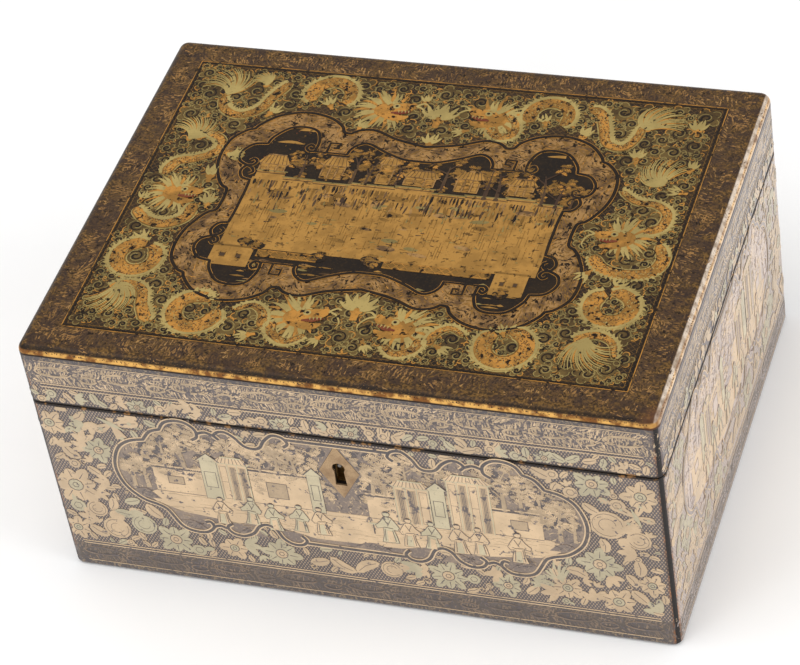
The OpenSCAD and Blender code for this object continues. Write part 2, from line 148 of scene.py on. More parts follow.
class DeedBoxStage(bpy.types.PropertyGroup):
    lens: FloatProperty(name="Lens", description="Focal length", default=149.39, min=20, max=400,
                        unit="CAMERA")
    key: FloatProperty(name="Key light", description="Power of the large light above", default=12.0, min=0,
                       subtype="POWER")
    fill: FloatProperty(name="Front light", description="Power of the light in front", default=8.0, min=0,
                        subtype="POWER")
    side: FloatProperty(name="Side light", description="Power of the light on the right", default=22.0, min=0,
                        subtype="POWER")
    world: FloatProperty(name="World light", description="Level of the even light from all round",
                         default=0.84, min=0, max=2)


# Drawing in the plane of a face.

def smooth(points, per):
    """A curve through the points. A point given twice in a row makes a corner."""
    runs = [[points[0]]]
    for point in points[1:]:
        if point == runs[-1][-1]:
            runs.append([point])
        else:
            runs[-1].append(point)
    out = []
    for run in runs:
        last = len(run) - 1
        for i in range(last):
            a, b = run[max(i - 1, 0)], run[i]
            c, d = run[i + 1], run[min(i + 2, last)]
            for k in range(per if last > 1 else 1):
                t = k / per
                out.append(tuple(
                    0.5 * (2 * b[j] + (c[j] - a[j]) * t + (2 * a[j] - 5 * b[j] + 4 * c[j] - d[j]) * t * t
                           + (3 * b[j] - a[j] - 3 * c[j] + d[j]) * t ** 3)
                    for j in (0, 1)))
        if run is runs[-1] or last == 0:
            out.append(run[-1])
    return out


def arc(u, v, radius, start, end, count=12, squeeze=1.0):
    """Points on a circle from one angle to another, in degrees."""
    turns = [math.radians(start + (end - start) * i / (count - 1)) for i in range(count)]
    return [(u + radius * math.cos(a), v + radius * squeeze * math.sin(a)) for a in turns]


def spiral(u, v, inner, outer, start, sweep, count):
    out = []
    for i in range(count):
        share = i / (count - 1)
        a = math.radians(start + sweep * share)
        r = inner + (outer - inner) * share
        out.append((u + r * math.cos(a), v + r * math.sin(a)))
    return out


def reach(u, v, length, angle):
    a = math.radians(angle)
    return (u + length * math.cos(a), v + length * math.sin(a))


def swell(count, radius, power=0.8):
    """Radii of a leaf: thin at both ends."""
    return [max(0.06, radius * math.sin(math.pi * i / (count - 1)) ** power) for i in range(count)]


def taper(count, radius, power=0.8, tip=0.05):
    """Radii of a hair or claw: thick at the root and thin at the tip."""
    return [max(tip, radius * (1 - i / (count - 1)) ** power) for i in range(count)]


def mirror(points, mid, axis):
    """The points mirrored about u or v = mid, in reverse order."""
    turned = [(2 * mid - p[0], p[1]) if axis == 0 else (p[0], 2 * mid - p[1]) for p in points]
    return turned[::-1]


def inside(point, outline):
    u, v = point
    hit = False
    j = len(outline) - 1
    for i, (a, b) in enumerate(outline):
        c, d = outline[j]
        if (b > v) != (d > v) and u < (c - a) * (v - b) / (d - b) + a:
            hit = not hit
        j = i
    return hit


def heading(points, i):
    """Direction of a line of points at its point i, in degrees."""
    a, b = points[max(i - 1, 0)], points[min(i + 1, len(points) - 1)]
    return math.degrees(math.atan2(b[1] - a[1], b[0] - a[0]))


class Face:
    """One outer face of the box: its own u and v in millimetres, and how it bends round the edges."""

    def __init__(self, across, up, out, height, bends):
        self.axes = np.array([across, up, out], float)
        self.height = height
        self.bends = bends

    def place(self, points):
        """Points (u, v, rise) on the face, in metres, as points of the box."""
        points = points.copy()
        points[:, 2] += self.height * MM
        for column, flat, radius in self.bends:
            over = np.abs(points[:, column]) - flat * MM
            bent = over > 0
            angle = over[bent] / (radius * MM)
            centre = (self.height - radius) * MM
            r = points[bent, 2] - centre
            points[bent, column] = np.sign(points[bent, column]) * (flat * MM + r * np.sin(angle))
            points[bent, 2] = centre + r * np.cos(angle)
        return points @ self.axes


FACES = {
    "front": Face((1, 0, 0), (0, 0, 1), (0, -1, 0), HALF_D, [(0, HALF_W - CORNER_R, CORNER_R)]),
    "right": Face((0, 1, 0), (0, 0, 1), (1, 0, 0), HALF_W, [(0, HALF_D - CORNER_R, CORNER_R)]),
    "back": Face((-1, 0, 0), (0, 0, 1), (0, 1, 0), HALF_D, [(0, HALF_W - CORNER_R, CORNER_R)]),
    "left": Face((0, -1, 0), (0, 0, 1), (-1, 0, 0), HALF_W, [(0, HALF_D - CORNER_R, CORNER_R)]),
    "top": Face((1, 0, 0), (0, 1, 0), (0, 0, 1), TOP_Z,
                [(0, HALF_W - EDGE_R, EDGE_R), (1, HALF_D - EDGE_R, EDGE_R)]),
}
HALF_OF = {"front": HALF_W, "back": HALF_W, "left": HALF_D, "right": HALF_D}


class Brush:
    """Strokes and flat fields of gilding on one face. A level lies over the levels below it."""

    def __init__(self):
        self.strokes = []
        self.fields = []
        self.taken = []

    def stroke(self, points, radius, finish, level):
        if len(points) < 2:
            return
        radii = [radius] * len(points) if isinstance(radius, (int, float)) else radius
        self.strokes.append((points, radii, finish, level))

    def field(self, outline, finish, level):
        if outline[0] == outline[-1]:
            outline = outline[:-1]
        self.fields.append((outline, finish, level))

    def take(self, u, v, radius):
        """Keeps small filling motifs off a disc."""
        self.taken.append((u, v, radius))

    def free(self, u, v, radius):
        return all((u - a) ** 2 + (v - b) ** 2 > (radius + c) ** 2 for a, b, c in self.taken)


def deselect():
    if bpy.context.object and bpy.context.object.mode != "OBJECT":
        bpy.ops.object.mode_set(mode="OBJECT")
    bpy.ops.object.select_all(action="DESELECT")


def activate(piece):
    deselect()
    piece.select_set(True)
    bpy.context.view_layer.objects.active = piece


def stroke_mesh(name, strokes, materials):
    """Strokes as one curve with a round section, made a mesh."""
    curve = bpy.data.curves.new(name, "CURVE")
    curve.dimensions = "3D"
    curve.twist_mode = "Z_UP"
    curve.bevel_depth = MM
    curve.bevel_resolution = 0
    curve.use_fill_caps = True
    for finish in materials:
        curve.materials.append(gilding(finish))
    for points, radii, finish, level in strokes:
        closed = points[0] == points[-1]
        if closed:
            points, radii = points[:-1], radii[:-1]
        spline = curve.splines.new("POLY")
        spline.points.add(len(points) - 1)
        flat = [w for u, v in points for w in (u * MM, v * MM, level * LEVEL_CODE, 1.0)]
        spline.points.foreach_set("co", flat)
        spline.points.foreach_set("radius", radii)
        spline.use_cyclic_u = closed
        spline.use_smooth = False
        spline.material_index = materials.index(finish)
    piece = bpy.data.objects.new(name, curve)
    bpy.context.scene.collection.objects.link(piece)
    activate(piece)
    bpy.ops.object.convert(target="MESH")
    return bpy.context.object


def field_mesh(name, fields, materials):
    """Flat fields as faces that are given a thickness in edit mode."""
    points, faces, indices = [], [], []
    rows = len(fields) | 1
    for number, (outline, finish, level) in enumerate(fields):
        start = len(points)
        height = (level + 0.2 + 0.2 * (number * 37 % rows) / rows) * LEVEL_CODE
        points += [(u * MM, v * MM, height) for u, v in outline]
        faces.append(list(range(start, len(points))))
        indices.append(materials.index(finish))
    mesh = bpy.data.meshes.new(name)
    mesh.from_pydata(points, [], faces)
    for finish in materials:
        mesh.materials.append(gilding(finish))
    mesh.polygons.foreach_set("material_index", indices)
    mesh.validate()
    piece = bpy.data.objects.new(name, mesh)
    bpy.context.scene.collection.objects.link(piece)
    activate(piece)
    bpy.ops.object.mode_set(mode="EDIT")
    bpy.ops.mesh.select_all(action="SELECT")
    bpy.ops.mesh.normals_make_consistent(inside=False)
    bpy.ops.mesh.extrude_region_move(TRANSFORM_OT_translate={"value": (0, 0, -0.5 * LEVEL_CODE)})
    bpy.ops.mesh.select_all(action="SELECT")
    bpy.ops.mesh.normals_make_consistent(inside=False)
    bpy.ops.object.mode_set(mode="OBJECT")
    return piece


def build_relief(name, brush, face, body):
    """Turns a brush's work into one piece on a face of the box, riding on a body."""
    settings = bpy.context.scene.deed_box_relief
    used = sorted({s[2] for s in brush.strokes} | {f[1] for f in brush.fields})
    parts = []
    if brush.strokes:
        parts.append(stroke_mesh(name, brush.strokes, used))
    if brush.fields:
        parts.append(field_mesh(name + "_fields", brush.fields, used))
    for part, is_field in zip(parts, [not brush.strokes, True]):
        count = len(part.data.vertices)
        co = np.empty(count * 3)
        part.data.vertices.foreach_get("co", co)
        co = co.reshape(-1, 3)
        level = np.floor(co[:, 2] / LEVEL_CODE + 0.5)
        off = co[:, 2] - level * LEVEL_CODE
        base = level * settings.step
        sunk = -0.3 * settings.rise
        if is_field:
            rise = np.where(off > 0, base + (5.5 * off / LEVEL_CODE - 0.8) * settings.rise, sunk)
        else:
            crest = 0.3 * settings.rise + 0.7 * settings.rise * (1 - np.exp(-np.abs(off) / MM))
            rise = np.where(off > 1e-6, base + crest, np.where(off < -1e-6, sunk, base))
        co[:, 2] = rise
        part.data.vertices.foreach_set("co", face.place(co).ravel())
        part.data.update()
    piece = parts[0]
    if len(parts) > 1:
        deselect()
        for part in parts:
            part.select_set(True)
        bpy.context.view_layer.objects.active = piece
        bpy.ops.object.join()
    piece.name = name
    activate(piece)
    bpy.ops.object.mode_set(mode="EDIT")
    bpy.ops.mesh.select_all(action="SELECT")
    bpy.ops.mesh.normals_make_consistent(inside=False)
    bpy.ops.object.mode_set(mode="OBJECT")
    deselect()
    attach(piece, body)


# Materials.

class Shade:
    """A node material with one Principled shader, read in the object's own coordinates."""

    def __init__(self, name):
        self.material = bpy.data.materials.new(name)
        self.material.use_nodes = True
        self.tree = self.material.node_tree
        self.shader = self.tree.nodes["Principled BSDF"]
        self.place = self.node("ShaderNodeTexCoord").outputs["Object"]
        self.axes = None

    def node(self, kind, **values):
        node = self.tree.nodes.new(kind)
        for key, value in values.items():
            setattr(node, key, value)
        return node

    def put(self, socket, value):
        if isinstance(value, bpy.types.NodeSocket):
            self.tree.links.new(value, socket)
        elif isinstance(value, tuple) and socket.type == "RGBA":
            socket.default_value = (*value[:3], 1.0)
        else:
            socket.default_value = value

    def math(self, kind, a, b=0.0, c=0.0):
        node = self.node("ShaderNodeMath", operation=kind)
        for socket, value in zip(node.inputs, (a, b, c)):
            self.put(socket, value)
        return node.outputs[0]

    def axis(self, index):
        """A coordinate in millimetres."""
        if self.axes is None:
            split = self.node("ShaderNodeSeparateXYZ")
            self.put(split.inputs[0], self.place)
            self.axes = [self.math("MULTIPLY", out, 1 / MM) for out in split.outputs]
        return self.axes[index]

    def noise(self, scale, detail, stretch=None):
        """Noise with about scale features to a millimetre."""
        place = self.place
        if stretch:
            mapping = self.node("ShaderNodeMapping")
            self.put(mapping.inputs["Vector"], place)
            mapping.inputs["Scale"].default_value = stretch
            place = mapping.outputs[0]
        node = self.node("ShaderNodeTexNoise")
        self.put(node.inputs["Vector"], place)
        node.inputs["Scale"].default_value = scale / MM
        node.inputs["Detail"].default_value = detail
        return node.outputs["Fac"]

    def ramp(self, value, low, high, out_low=0.0, out_high=1.0):
        node = self.node("ShaderNodeMapRange", interpolation_type="SMOOTHSTEP")
        for socket, given in zip(node.inputs, (value, low, high, out_low, out_high)):
            self.put(socket, given)
        return node.outputs[0]

    def near(self, value, middle, half):
        return self.math("COMPARE", value, middle, half)

    def mix(self, factor, a, b):
        node = self.node("ShaderNodeMix", data_type="RGBA")
        self.put(node.inputs[0], factor)
        self.put(node.inputs[6], a)
        self.put(node.inputs[7], b)
        return node.outputs[2]

    def bump(self, height, distance, strength):
        node = self.node("ShaderNodeBump")
        self.put(node.inputs["Height"], height)
        node.inputs["Distance"].default_value = distance
        node.inputs["Strength"].default_value = strength
        self.put(self.shader.inputs["Normal"], node.outputs[0])

    def finish(self, colour, roughness, metallic=0.0, specular=0.5, coat=0.0):
        self.put(self.shader.inputs["Base Color"], colour)
        self.put(self.shader.inputs["Roughness"], roughness)
        self.shader.inputs["Metallic"].default_value = metallic
        self.shader.inputs["Specular IOR Level"].default_value = specular
        self.put(self.shader.inputs["Coat Weight"], coat)
        self.shader.inputs["Coat IOR"].default_value = 1.7
        self.shader.inputs["Coat Roughness"].default_value = 0.22
        return self.material


def gilt_shade(name, main, deep, ground, wear, patch=0.07, metallic=0.2, coat=0.0):
    """Gold powder on lacquer: it varies broadly, is speckled finely, and is rubbed through in places."""
    shade = Shade(name)
    broad = shade.ramp(shade.noise(patch, 4.0), 0.4, 0.62)
    fine = shade.noise(0.9, 2.0)
    tone = shade.mix(shade.math("MULTIPLY", broad, 0.75), main, deep)
    speck = shade.ramp(fine, 0.56, 0.7)
    tone = shade.mix(shade.math("MULTIPLY", speck, 0.5), tone, deep)
    rubbed = shade.ramp(shade.math("ADD", shade.noise(0.3, 5.0), shade.math("MULTIPLY", fine, 0.35)),
                        0.89 - wear, 0.99 - wear)
    tone = shade.mix(rubbed, tone, ground)
    shade.bump(fine, 0.00003, 0.5)
    return shade.finish(tone, 0.42, metallic, 0.35 if coat else 0.08, coat)


def line_shade(name, main, pale, amount, coat=0.0):
    """A painted line or a patch of lacquer with a little gold dust on it."""
    shade = Shade(name)
    dust = shade.ramp(shade.noise(0.8, 3.0), 0.5, 0.72)
    broad = shade.ramp(shade.noise(0.09, 3.0), 0.4, 0.65)
    tone = shade.mix(shade.math("MULTIPLY", dust, amount), main, pale)
    tone = shade.mix(shade.math("MULTIPLY", broad, amount * 0.5), tone, pale)
    shade.bump(dust, 0.00002, 0.4)
    return shade.finish(tone, 0.38, 0.0, 0.25 if coat else 0.12, coat)


def dim(tone, share):
    return tuple(channel * share for channel in tone)


def blend(a, b, share):
    return tuple(x * (1 - share) + y * share for x, y in zip(a, b))


def gilding(name):
    """The gilding or line of that name, made when it is first asked for."""
    ready = bpy.data.materials.get(name)
    if ready:
        return ready
    c = bpy.context.scene.deed_box_colours
    top, side = tuple(c.top_lacquer), tuple(c.side_lacquer)
    gold, green = tuple(c.gold), tuple(c.green_gold)
    peach, sage, painted_sheen = tuple(c.peach_gold), tuple(c.sage_gold), tuple(c.painted_sheen)
    # Gilding of the lid: main tone, deep tone, tone where it is rubbed through, wear, fineness of patches.
    on_lid = {
        "gold": (linear(184, 130, 60), dim(gold, 0.5), top, 0.15, 0.12),
        "gold_deep": (dim(gold, 0.55), dim(gold, 0.35), top, 0.16),
        "gold_band": (linear(162, 124, 76), linear(62, 46, 37), top, 0.15, 0.16),
        "gold_worn": (dim(gold, 0.94), dim(gold, 0.62), blend(top, gold, 0.3), 0.13, 0.12),
        "border_gold": (linear(150, 112, 66), linear(50, 37, 31), top, 0.18, 0.09),
        "green": (green, dim(green, 0.7), top, 0.1),
        "moss": (dim(green, 0.66), dim(green, 0.42), top, 0.1),
        "olive": (linear(104, 84, 47), linear(62, 47, 30), top, 0.14),
        "umber": (linear(86, 66, 46), linear(62, 46, 38), top, 0.12),
    }
    # Gilding of the sides, under their hazy coat.
    on_sides = {
        "peach": (peach, dim(peach, 0.78), side, 0.1),
        "peach_deep": (dim(peach, 0.66), dim(peach, 0.48), side, 0.14),
        "petal": (dim(peach, 0.84), dim(peach, 0.66), side, 0.09),
        "sage": (sage, dim(sage, 0.78), side, 0.07),
        "leafy": (dim(sage, 0.84), dim(sage, 0.66), side, 0.09),
        "haze_band": (dim(peach, 0.8), dim(peach, 0.5), side, 0.16),
        "foot_gold": (linear(128, 105, 82), linear(92, 76, 62), side, 0.14),
        # A paler copy for the ends, with the painted sheen mixed in.
        "end_deep": (blend(dim(peach, 0.8), painted_sheen, 0.5), dim(painted_sheen, 0.8), dim(painted_sheen, 0.7), 0.14),
    }
    # Painted lines and patches: main tone, tone of the dust on them, its amount, weight of the coat.
    painted = {
        "night": (dim(top, 0.7), dim(gold, 0.2), 0.2),
        "line": (dim(top, 0.6), dim(gold, 0.3), 0.15),
        "russet": (linear(104, 46, 30), gold, 0.2),
        "dusk": (blend(side, peach, 0.12), peach, 0.3, 0.6),
        "side_line": (dim(side, 0.7), peach, 0.1, 0.6),
        "ink": (dim(side, 0.55), peach, 0.1, 0.6),
        # Paler copies for the ends, with the painted sheen mixed in.
        "end_line": (blend(dim(side, 0.8), painted_sheen, 0.4), peach, 0.1, 0.6),
        "end_dusk": (blend(side, painted_sheen, 0.55), peach, 0.3, 0.6),
        "end_ink": (blend(dim(side, 0.7), painted_sheen, 0.3), peach, 0.1, 0.6),
    }
    if name in on_lid:
        return gilt_shade(name, *on_lid[name])
    if name in on_sides:
        return gilt_shade(name, *on_sides[name], metallic=0.1, coat=0.6)
    return line_shade(name, *painted[name])


def net(shade, u, v, pitch, half):
    """Crossing fine lines, as a diaper ground."""
    first = shade.math("FRACT", shade.math("DIVIDE", shade.math("ADD", u, v), pitch))
    second = shade.math("FRACT", shade.math("DIVIDE", shade.math("SUBTRACT", u, v), pitch))
    return shade.math("MAXIMUM", shade.near(first, 0.5, half), shade.near(second, 0.5, half))


def scales(shade, u, v, pitch):
    """Small scales in rows, each row moved by half a scale."""
    turn = 2 * math.pi / pitch
    wave = shade.math("MULTIPLY", shade.math("SINE", shade.math("MULTIPLY", u, turn)),
                      shade.math("SINE", shade.math("MULTIPLY", v, turn * 0.6)))
    return shade.ramp(wave, 0.05, 0.5)


def side_shade(name, axis, half, half_across, painted_sheen=0.0):
    """Lacquer of the four sides. Its bands follow the height, and its inner faces are plain black. The ends
    get a painted sheen below the seam, and the seam a band of painted shade with rubbed nicks.
    """
    c = bpy.context.scene.deed_box_colours
    peach, black = tuple(c.peach_gold), tuple(c.inner_lacquer)
    # On the ends a share of the painted sheen is mixed into the ground, in place of the reflection on them.
    side = blend(tuple(c.side_lacquer), tuple(c.painted_sheen), painted_sheen)
    shade = Shade(name)
    u, z = shade.axis(axis), shade.axis(2)
    across = shade.math("ABSOLUTE", shade.axis(1 - axis))
    broad = shade.ramp(shade.noise(0.02, 3.0), 0.35, 0.68)
    fine = shade.noise(0.9, 3.0)
    tone = shade.mix(broad, dim(side, 0.68), dim(side, 0.9))
    dots = shade.math("MULTIPLY", scales(shade, u, z, 1.6), shade.ramp(fine, 0.35, 0.6, 0.5, 0.9))
    tone = shade.mix(dots, tone, blend(side, peach, 0.6))
    foliage = shade.math("MAXIMUM", shade.near(z, *FOOT_GROUND), shade.near(z, *LID_GROUND))
    ground = shade.mix(shade.ramp(fine, 0.42, 0.66), dim(side, 0.7), blend(side, peach, 0.12))
    tone = shade.mix(foliage, tone, ground)
    foot = shade.ramp(z, *FOOT_FADE, 0.85, 0.0)
    tone = shade.mix(foot, tone, linear(76, 63, 52))
    plain = shade.math("MAXIMUM", shade.near(z, *FOOT_PLAIN), shade.near(z, *LID_PLAIN))
    tone = shade.mix(plain, tone, shade.mix(shade.ramp(fine, 0.45, 0.7), dim(side, 0.6), dim(peach, 0.36)))
    corner = shade.ramp(shade.math("ADD", shade.math("ABSOLUTE", u), shade.math("MULTIPLY", fine, 3.0)),
                        half - 2.6, half - 0.4)
    worn = shade.mix(shade.ramp(shade.noise(0.12, 4.0), 0.45, 0.62), linear(58, 36, 26), linear(150, 92, 44))
    tone = shade.mix(shade.math("MULTIPLY", corner, 0.8), tone, worn)
    # Painted shade and wear at the seam: a band about the gap is painted near black, standing in for the
    # gap's shadow, with orange nicks where the edges are rubbed.
    seam = shade.ramp(shade.math("ABSOLUTE", shade.math("SUBTRACT", z, SEAM_Z)), 1.0, 2.0, 1.0, 0.0)
    nick_and_gap_shade = shade.mix(shade.ramp(shade.noise(0.3, 4.0), 0.56, 0.66), linear(24, 16, 12), linear(136, 96, 50))
    tone = shade.mix(shade.math("MULTIPLY", seam, 0.95), tone, nick_and_gap_shade)
    # Above the seam, on the lid rails of the ends, the plain side lacquer stands instead, without the painted
    # sheen.
    if painted_sheen:
        above = shade.math("MULTIPLY", shade.math("GREATER_THAN", z, SEAM_Z + 1.5), 0.95)
        tone = shade.mix(above, tone, tuple(c.side_lacquer))
    inner = shade.math("LESS_THAN", across, half_across - 0.7)
    tone = shade.mix(inner, tone, shade.mix(shade.ramp(fine, 0.4, 0.7), black, dim(black, 1.6)))
    rough = shade.ramp(fine, 0.3, 0.7, 0.36, 0.46)
    # The coat is left off the seam, so that its painted shade stays dark, and off the rubbed corners.
    coat = shade.math("MULTIPLY", shade.math("SUBTRACT", 1.0, shade.math("MAXIMUM", seam, corner)), 0.6)
    shade.bump(shade.noise(0.3, 3.0), 0.00002, 0.5)
    return shade.finish(tone, rough, 0.0, 0.25, coat)


def top_shade(name):
    """Lacquer of the lid's top board: dark field with a gold net, brown border, rubbed gold edge, painted
    shade in the quirk below it and a painted highlight along the right edge.
    """
    c = bpy.context.scene.deed_box_colours
    top, gold, black = tuple(c.top_lacquer), tuple(c.gold), tuple(c.inner_lacquer)
    shade = Shade(name)
    x, y, z = (shade.axis(i) for i in range(3))
    ax, ay = shade.math("ABSOLUTE", x), shade.math("ABSOLUTE", y)
    fine = shade.noise(0.8, 3.0)
    broad = shade.ramp(shade.noise(0.03, 3.0), 0.35, 0.68)
    tone = shade.mix(broad, top, blend(top, gold, 0.06))
    lines = shade.math("MULTIPLY", net(shade, x, y, 3.1, 0.085), shade.ramp(fine, 0.38, 0.6, 0.1, 0.4))
    tone = shade.mix(lines, tone, blend(top, gold, 0.5))
    border = shade.math("MAXIMUM", shade.math("GREATER_THAN", ax, FRAME_U + 0.8),
                        shade.math("GREATER_THAN", ay, FRAME_V + 0.8))
    mottle = shade.ramp(shade.noise(0.16, 5.0), 0.42, 0.62)
    brown = shade.mix(shade.ramp(fine, 0.38, 0.64), blend(top, gold, 0.06), blend(top, gold, 0.34))
    brown = shade.mix(shade.math("MULTIPLY", mottle, 0.8), brown, linear(50, 37, 32))
    tone = shade.mix(border, tone, brown)
    out = shade.math("MAXIMUM", shade.math("SUBTRACT", ax, HALF_W), shade.math("SUBTRACT", ay, HALF_D))
    rub = shade.noise(0.1, 5.0)
    edge_dark = shade.ramp(shade.math("ADD", out, shade.math("MULTIPLY", rub, 3.0)), -1.3, -0.2)
    tone = shade.mix(shade.math("MULTIPLY", edge_dark, 0.8), tone, dim(top, 0.7))
    streak = shade.noise(0.22, 4.0)
    gilt_edge = shade.mix(shade.ramp(streak, 0.4, 0.62), linear(214, 164, 88), linear(120, 76, 34))
    # Painted highlight: a pale stripe along the lid's right edge and on its rounded edge there, standing in
    # for light reflected from it.
    painted_highlight_edge = shade.mix(shade.ramp(streak, 0.4, 0.7), linear(214, 198, 180), linear(158, 138, 118))
    gilt_edge = shade.mix(shade.ramp(x, HALF_W - 1.0, HALF_W + 0.4), gilt_edge, painted_highlight_edge)
    highlight_stripe = shade.math("MULTIPLY", shade.ramp(x, HALF_W - 2.6, HALF_W - 1.9),
                        shade.ramp(rub, 0.3, 0.5, 0.6, 0.9))
    tone = shade.mix(highlight_stripe, tone, painted_highlight_edge)
    low = shade.ramp(shade.math("ADD", z, shade.math("MULTIPLY", rub, 0.9)), *GILT_EDGE, 1.0, 0.0)
    tone = shade.mix(low, tone, gilt_edge)
    # Painted shade: the quirk under the gilt edge is painted dark.
    quirk_shade = shade.ramp(z, *QUIRK_SHADE, 1.0, 0.0)
    tone = shade.mix(quirk_shade, tone, linear(40, 28, 22))
    patch = shade.node("ShaderNodeVectorMath", operation="DISTANCE")
    shade.put(patch.inputs[0], shade.place)
    patch.inputs[1].default_value = (HALF_W * MM, -HALF_D * MM, TOP_Z * MM)
    rubbed = shade.ramp(shade.math("ADD", patch.outputs["Value"], shade.math("MULTIPLY", rub, 0.012)),
                        0.012, 0.019, 1.0, 0.0)
    tone = shade.mix(shade.math("MULTIPLY", rubbed, 0.45), tone, linear(104, 66, 44))
    under = shade.math("LESS_THAN", z, UNDERSIDE)
    tone = shade.mix(under, tone, black)
    rough = shade.ramp(fine, 0.3, 0.7, 0.3, 0.42)
    shade.bump(shade.noise(0.3, 3.0), 0.00002, 0.5)
    return shade.finish(tone, rough, 0.0, 0.12)


def black_shade(name):
    c = bpy.context.scene.deed_box_colours
    black = tuple(c.inner_lacquer)
    shade = Shade(name)
    fine = shade.noise(0.5, 4.0)
    tone = shade.mix(shade.ramp(fine, 0.4, 0.7), black, dim(black, 1.7))
    shade.bump(fine, 0.00003, 0.4)
    return shade.finish(tone, shade.ramp(fine, 0.3, 0.7, 0.3, 0.5), 0.0, 0.4)


def metal_shade(name, main, tarnish, roughness):
    """Old metal: brushed fine lines, tarnish in broad patches."""
    shade = Shade(name)
    lines = shade.noise(1.6, 2.0, (1.0, 0.15, 1.0))
    broad = shade.ramp(shade.noise(0.12, 4.0), 0.4, 0.64)
    tone = shade.mix(shade.math("MULTIPLY", broad, 0.6), main, tarnish)
    tone = shade.mix(shade.math("MULTIPLY", shade.ramp(lines, 0.45, 0.7), 0.3), tone, tarnish)
    shade.bump(lines, 0.00002, 0.5)
    return shade.finish(tone, shade.ramp(lines, 0.3, 0.7, roughness - 0.06, roughness + 0.08), 0.8, 0.5)


# Motifs. A palette names the gildings that a motif uses on the lid or on the sides.

SIDE = {"main": "peach", "deep": "peach_deep", "pale": "sage", "line": "side_line", "band": "haze_band"}
GROVE = {"main": "gold_deep", "pale": "gold", "deep": "umber", "line": "line"}
GROVE_HALL = {"main": "gold_worn", "deep": "gold_deep", "pale": "gold_band", "line": "umber"}
BORDER = {"main": "gold_band", "deep": "umber", "band": "border_gold"}
GARDEN = dict(SIDE, main="haze_band", pale="peach")
FOOT = dict(SIDE, main="foot_gold", band="foot_gold", deep="side_line")


def along(line, step, start):
    """Places at even steps along a line of points: (u, v, direction in degrees, share of the length)."""
    lengths = [math.dist(a, b) for a, b in zip(line, line[1:])]
    total = sum(lengths)
    goal, passed, i = start, 0.0, 0
    while goal < total and i < len(lengths):
        if goal <= passed + lengths[i]:
            t = (goal - passed) / max(lengths[i], 1e-9)
            a, b = line[i], line[i + 1]
            yield (a[0] + (b[0] - a[0]) * t, a[1] + (b[1] - a[1]) * t,
                   math.degrees(math.atan2(b[1] - a[1], b[0] - a[0])), goal / total)
            goal += step
        else:
            passed += lengths[i]
            i += 1


def local(u, v, size, angle, flip=1):
    """A function that turns a motif's own places into places on the face."""
    c, s = math.cos(math.radians(angle)), math.sin(math.radians(angle))

    def turned(a, b):
        a, b = a * size * flip, b * size
        return (u + a * c - b * s, v + a * s + b * c)
    return turned


def disc(brush, u, v, radius, finish, level=MOTIF, squeeze=1.0, angle=0.0):
    """A round or oval lens of gilding."""
    steps = 6 if radius > 1.6 else 4
    turns = [math.pi * k / steps for k in range(steps + 1)]
    line = [reach(u, v, -radius * math.cos(a), angle) for a in turns]
    brush.stroke(line, [max(0.05, radius * squeeze * math.sin(a)) for a in turns], finish, level)


def leaf(brush, u, v, length, angle, width, finish, vein=None, level=MOTIF, bend=0.15):
    middle = reach(*reach(u, v, length * 0.5, angle), length * bend, angle + 90)
    line = smooth([(u, v), middle, reach(u, v, length, angle)], 3)
    brush.stroke(line, swell(len(line), width / 2, 0.6), finish, level)
    if vein:
        brush.stroke([line[1], line[3], line[-2]], 0.13, vein, level + 1)


def blossom(brush, u, v, radius, petals, main, second, line, angle=0.0):
    """An open flower: broad rounded petals round a ringed heart."""
    wide = radius * math.sin(math.pi / petals) * 0.68
    for k in range(petals):
        turn = angle + 360.0 * k / petals
        far = 1.04 if k % 2 else 0.84
        points = [reach(u, v, radius * share * far, turn) for share in (0.2, 0.42, 0.68, 0.88, 0.97, 1.0)]
        brush.stroke(points, [wide * share for share in (0.4, 0.8, 1.0, 0.7, 0.35, 0.1)], main, MOTIF)
        brush.stroke([reach(u, v, radius * 0.4, turn), reach(u, v, radius * 0.8, turn)], [0.22, 0.07],
                     line, MOTIF + 1)
    disc(brush, u, v, radius * 0.3, second, MOTIF + 1)
    brush.stroke(arc(u, v, radius * 0.3, 0, 360, 11), 0.16, line, MOTIF + 2)
    brush.stroke(arc(u, v, radius * 0.13, 0, 360, 7), 0.16, line, MOTIF + 2)
    brush.take(u, v, radius * 0.9)


def gourd(brush, u, v, radius, angle, main, line):
    """A round fruit with a smaller neck, ringed."""
    disc(brush, u, v, radius, main, MOTIF)
    neck = reach(u, v, radius * 1.2, angle)
    disc(brush, *neck, radius * 0.55, main, MOTIF)
    for share, sweep in ((0.8, 300), (0.45, 240)):
        brush.stroke(arc(u, v, radius * share, angle, angle + sweep, 13), 0.1, line, MOTIF + 1)
    brush.take(u, v, radius)


def butterfly(brush, u, v, size, angle, main, pale, line):
    place = local(u, v, size, angle)
    for side in (1, -1):
        for tip, wide in (((0.62, 0.5), 0.17), ((-0.3, 0.52), 0.16)):
            line_points = [place(tip[0] * s + 0.02, tip[1] * s * side) for s in (0.05, 0.4, 0.7, 0.95, 1.05)]
            brush.stroke(line_points, [wide * size * s for s in (0.3, 0.75, 1.0, 0.8, 0.25)], main, MOTIF)
            brush.stroke([line_points[1], line_points[3]], [0.25, 0.1], line, MOTIF + 1)
            disc(brush, *line_points[2], 0.07 * size, pale, MOTIF + 1)
        brush.stroke([place(0.4, 0.03 * side), place(0.75, 0.22 * side)], 0.14, main, MOTIF)
    brush.stroke([place(-0.45, 0), place(0.0, 0), place(0.45, 0)], [0.2, 0.09 * size, 0.15], pale, MOTIF + 1)
    brush.take(u, v, size * 0.55)


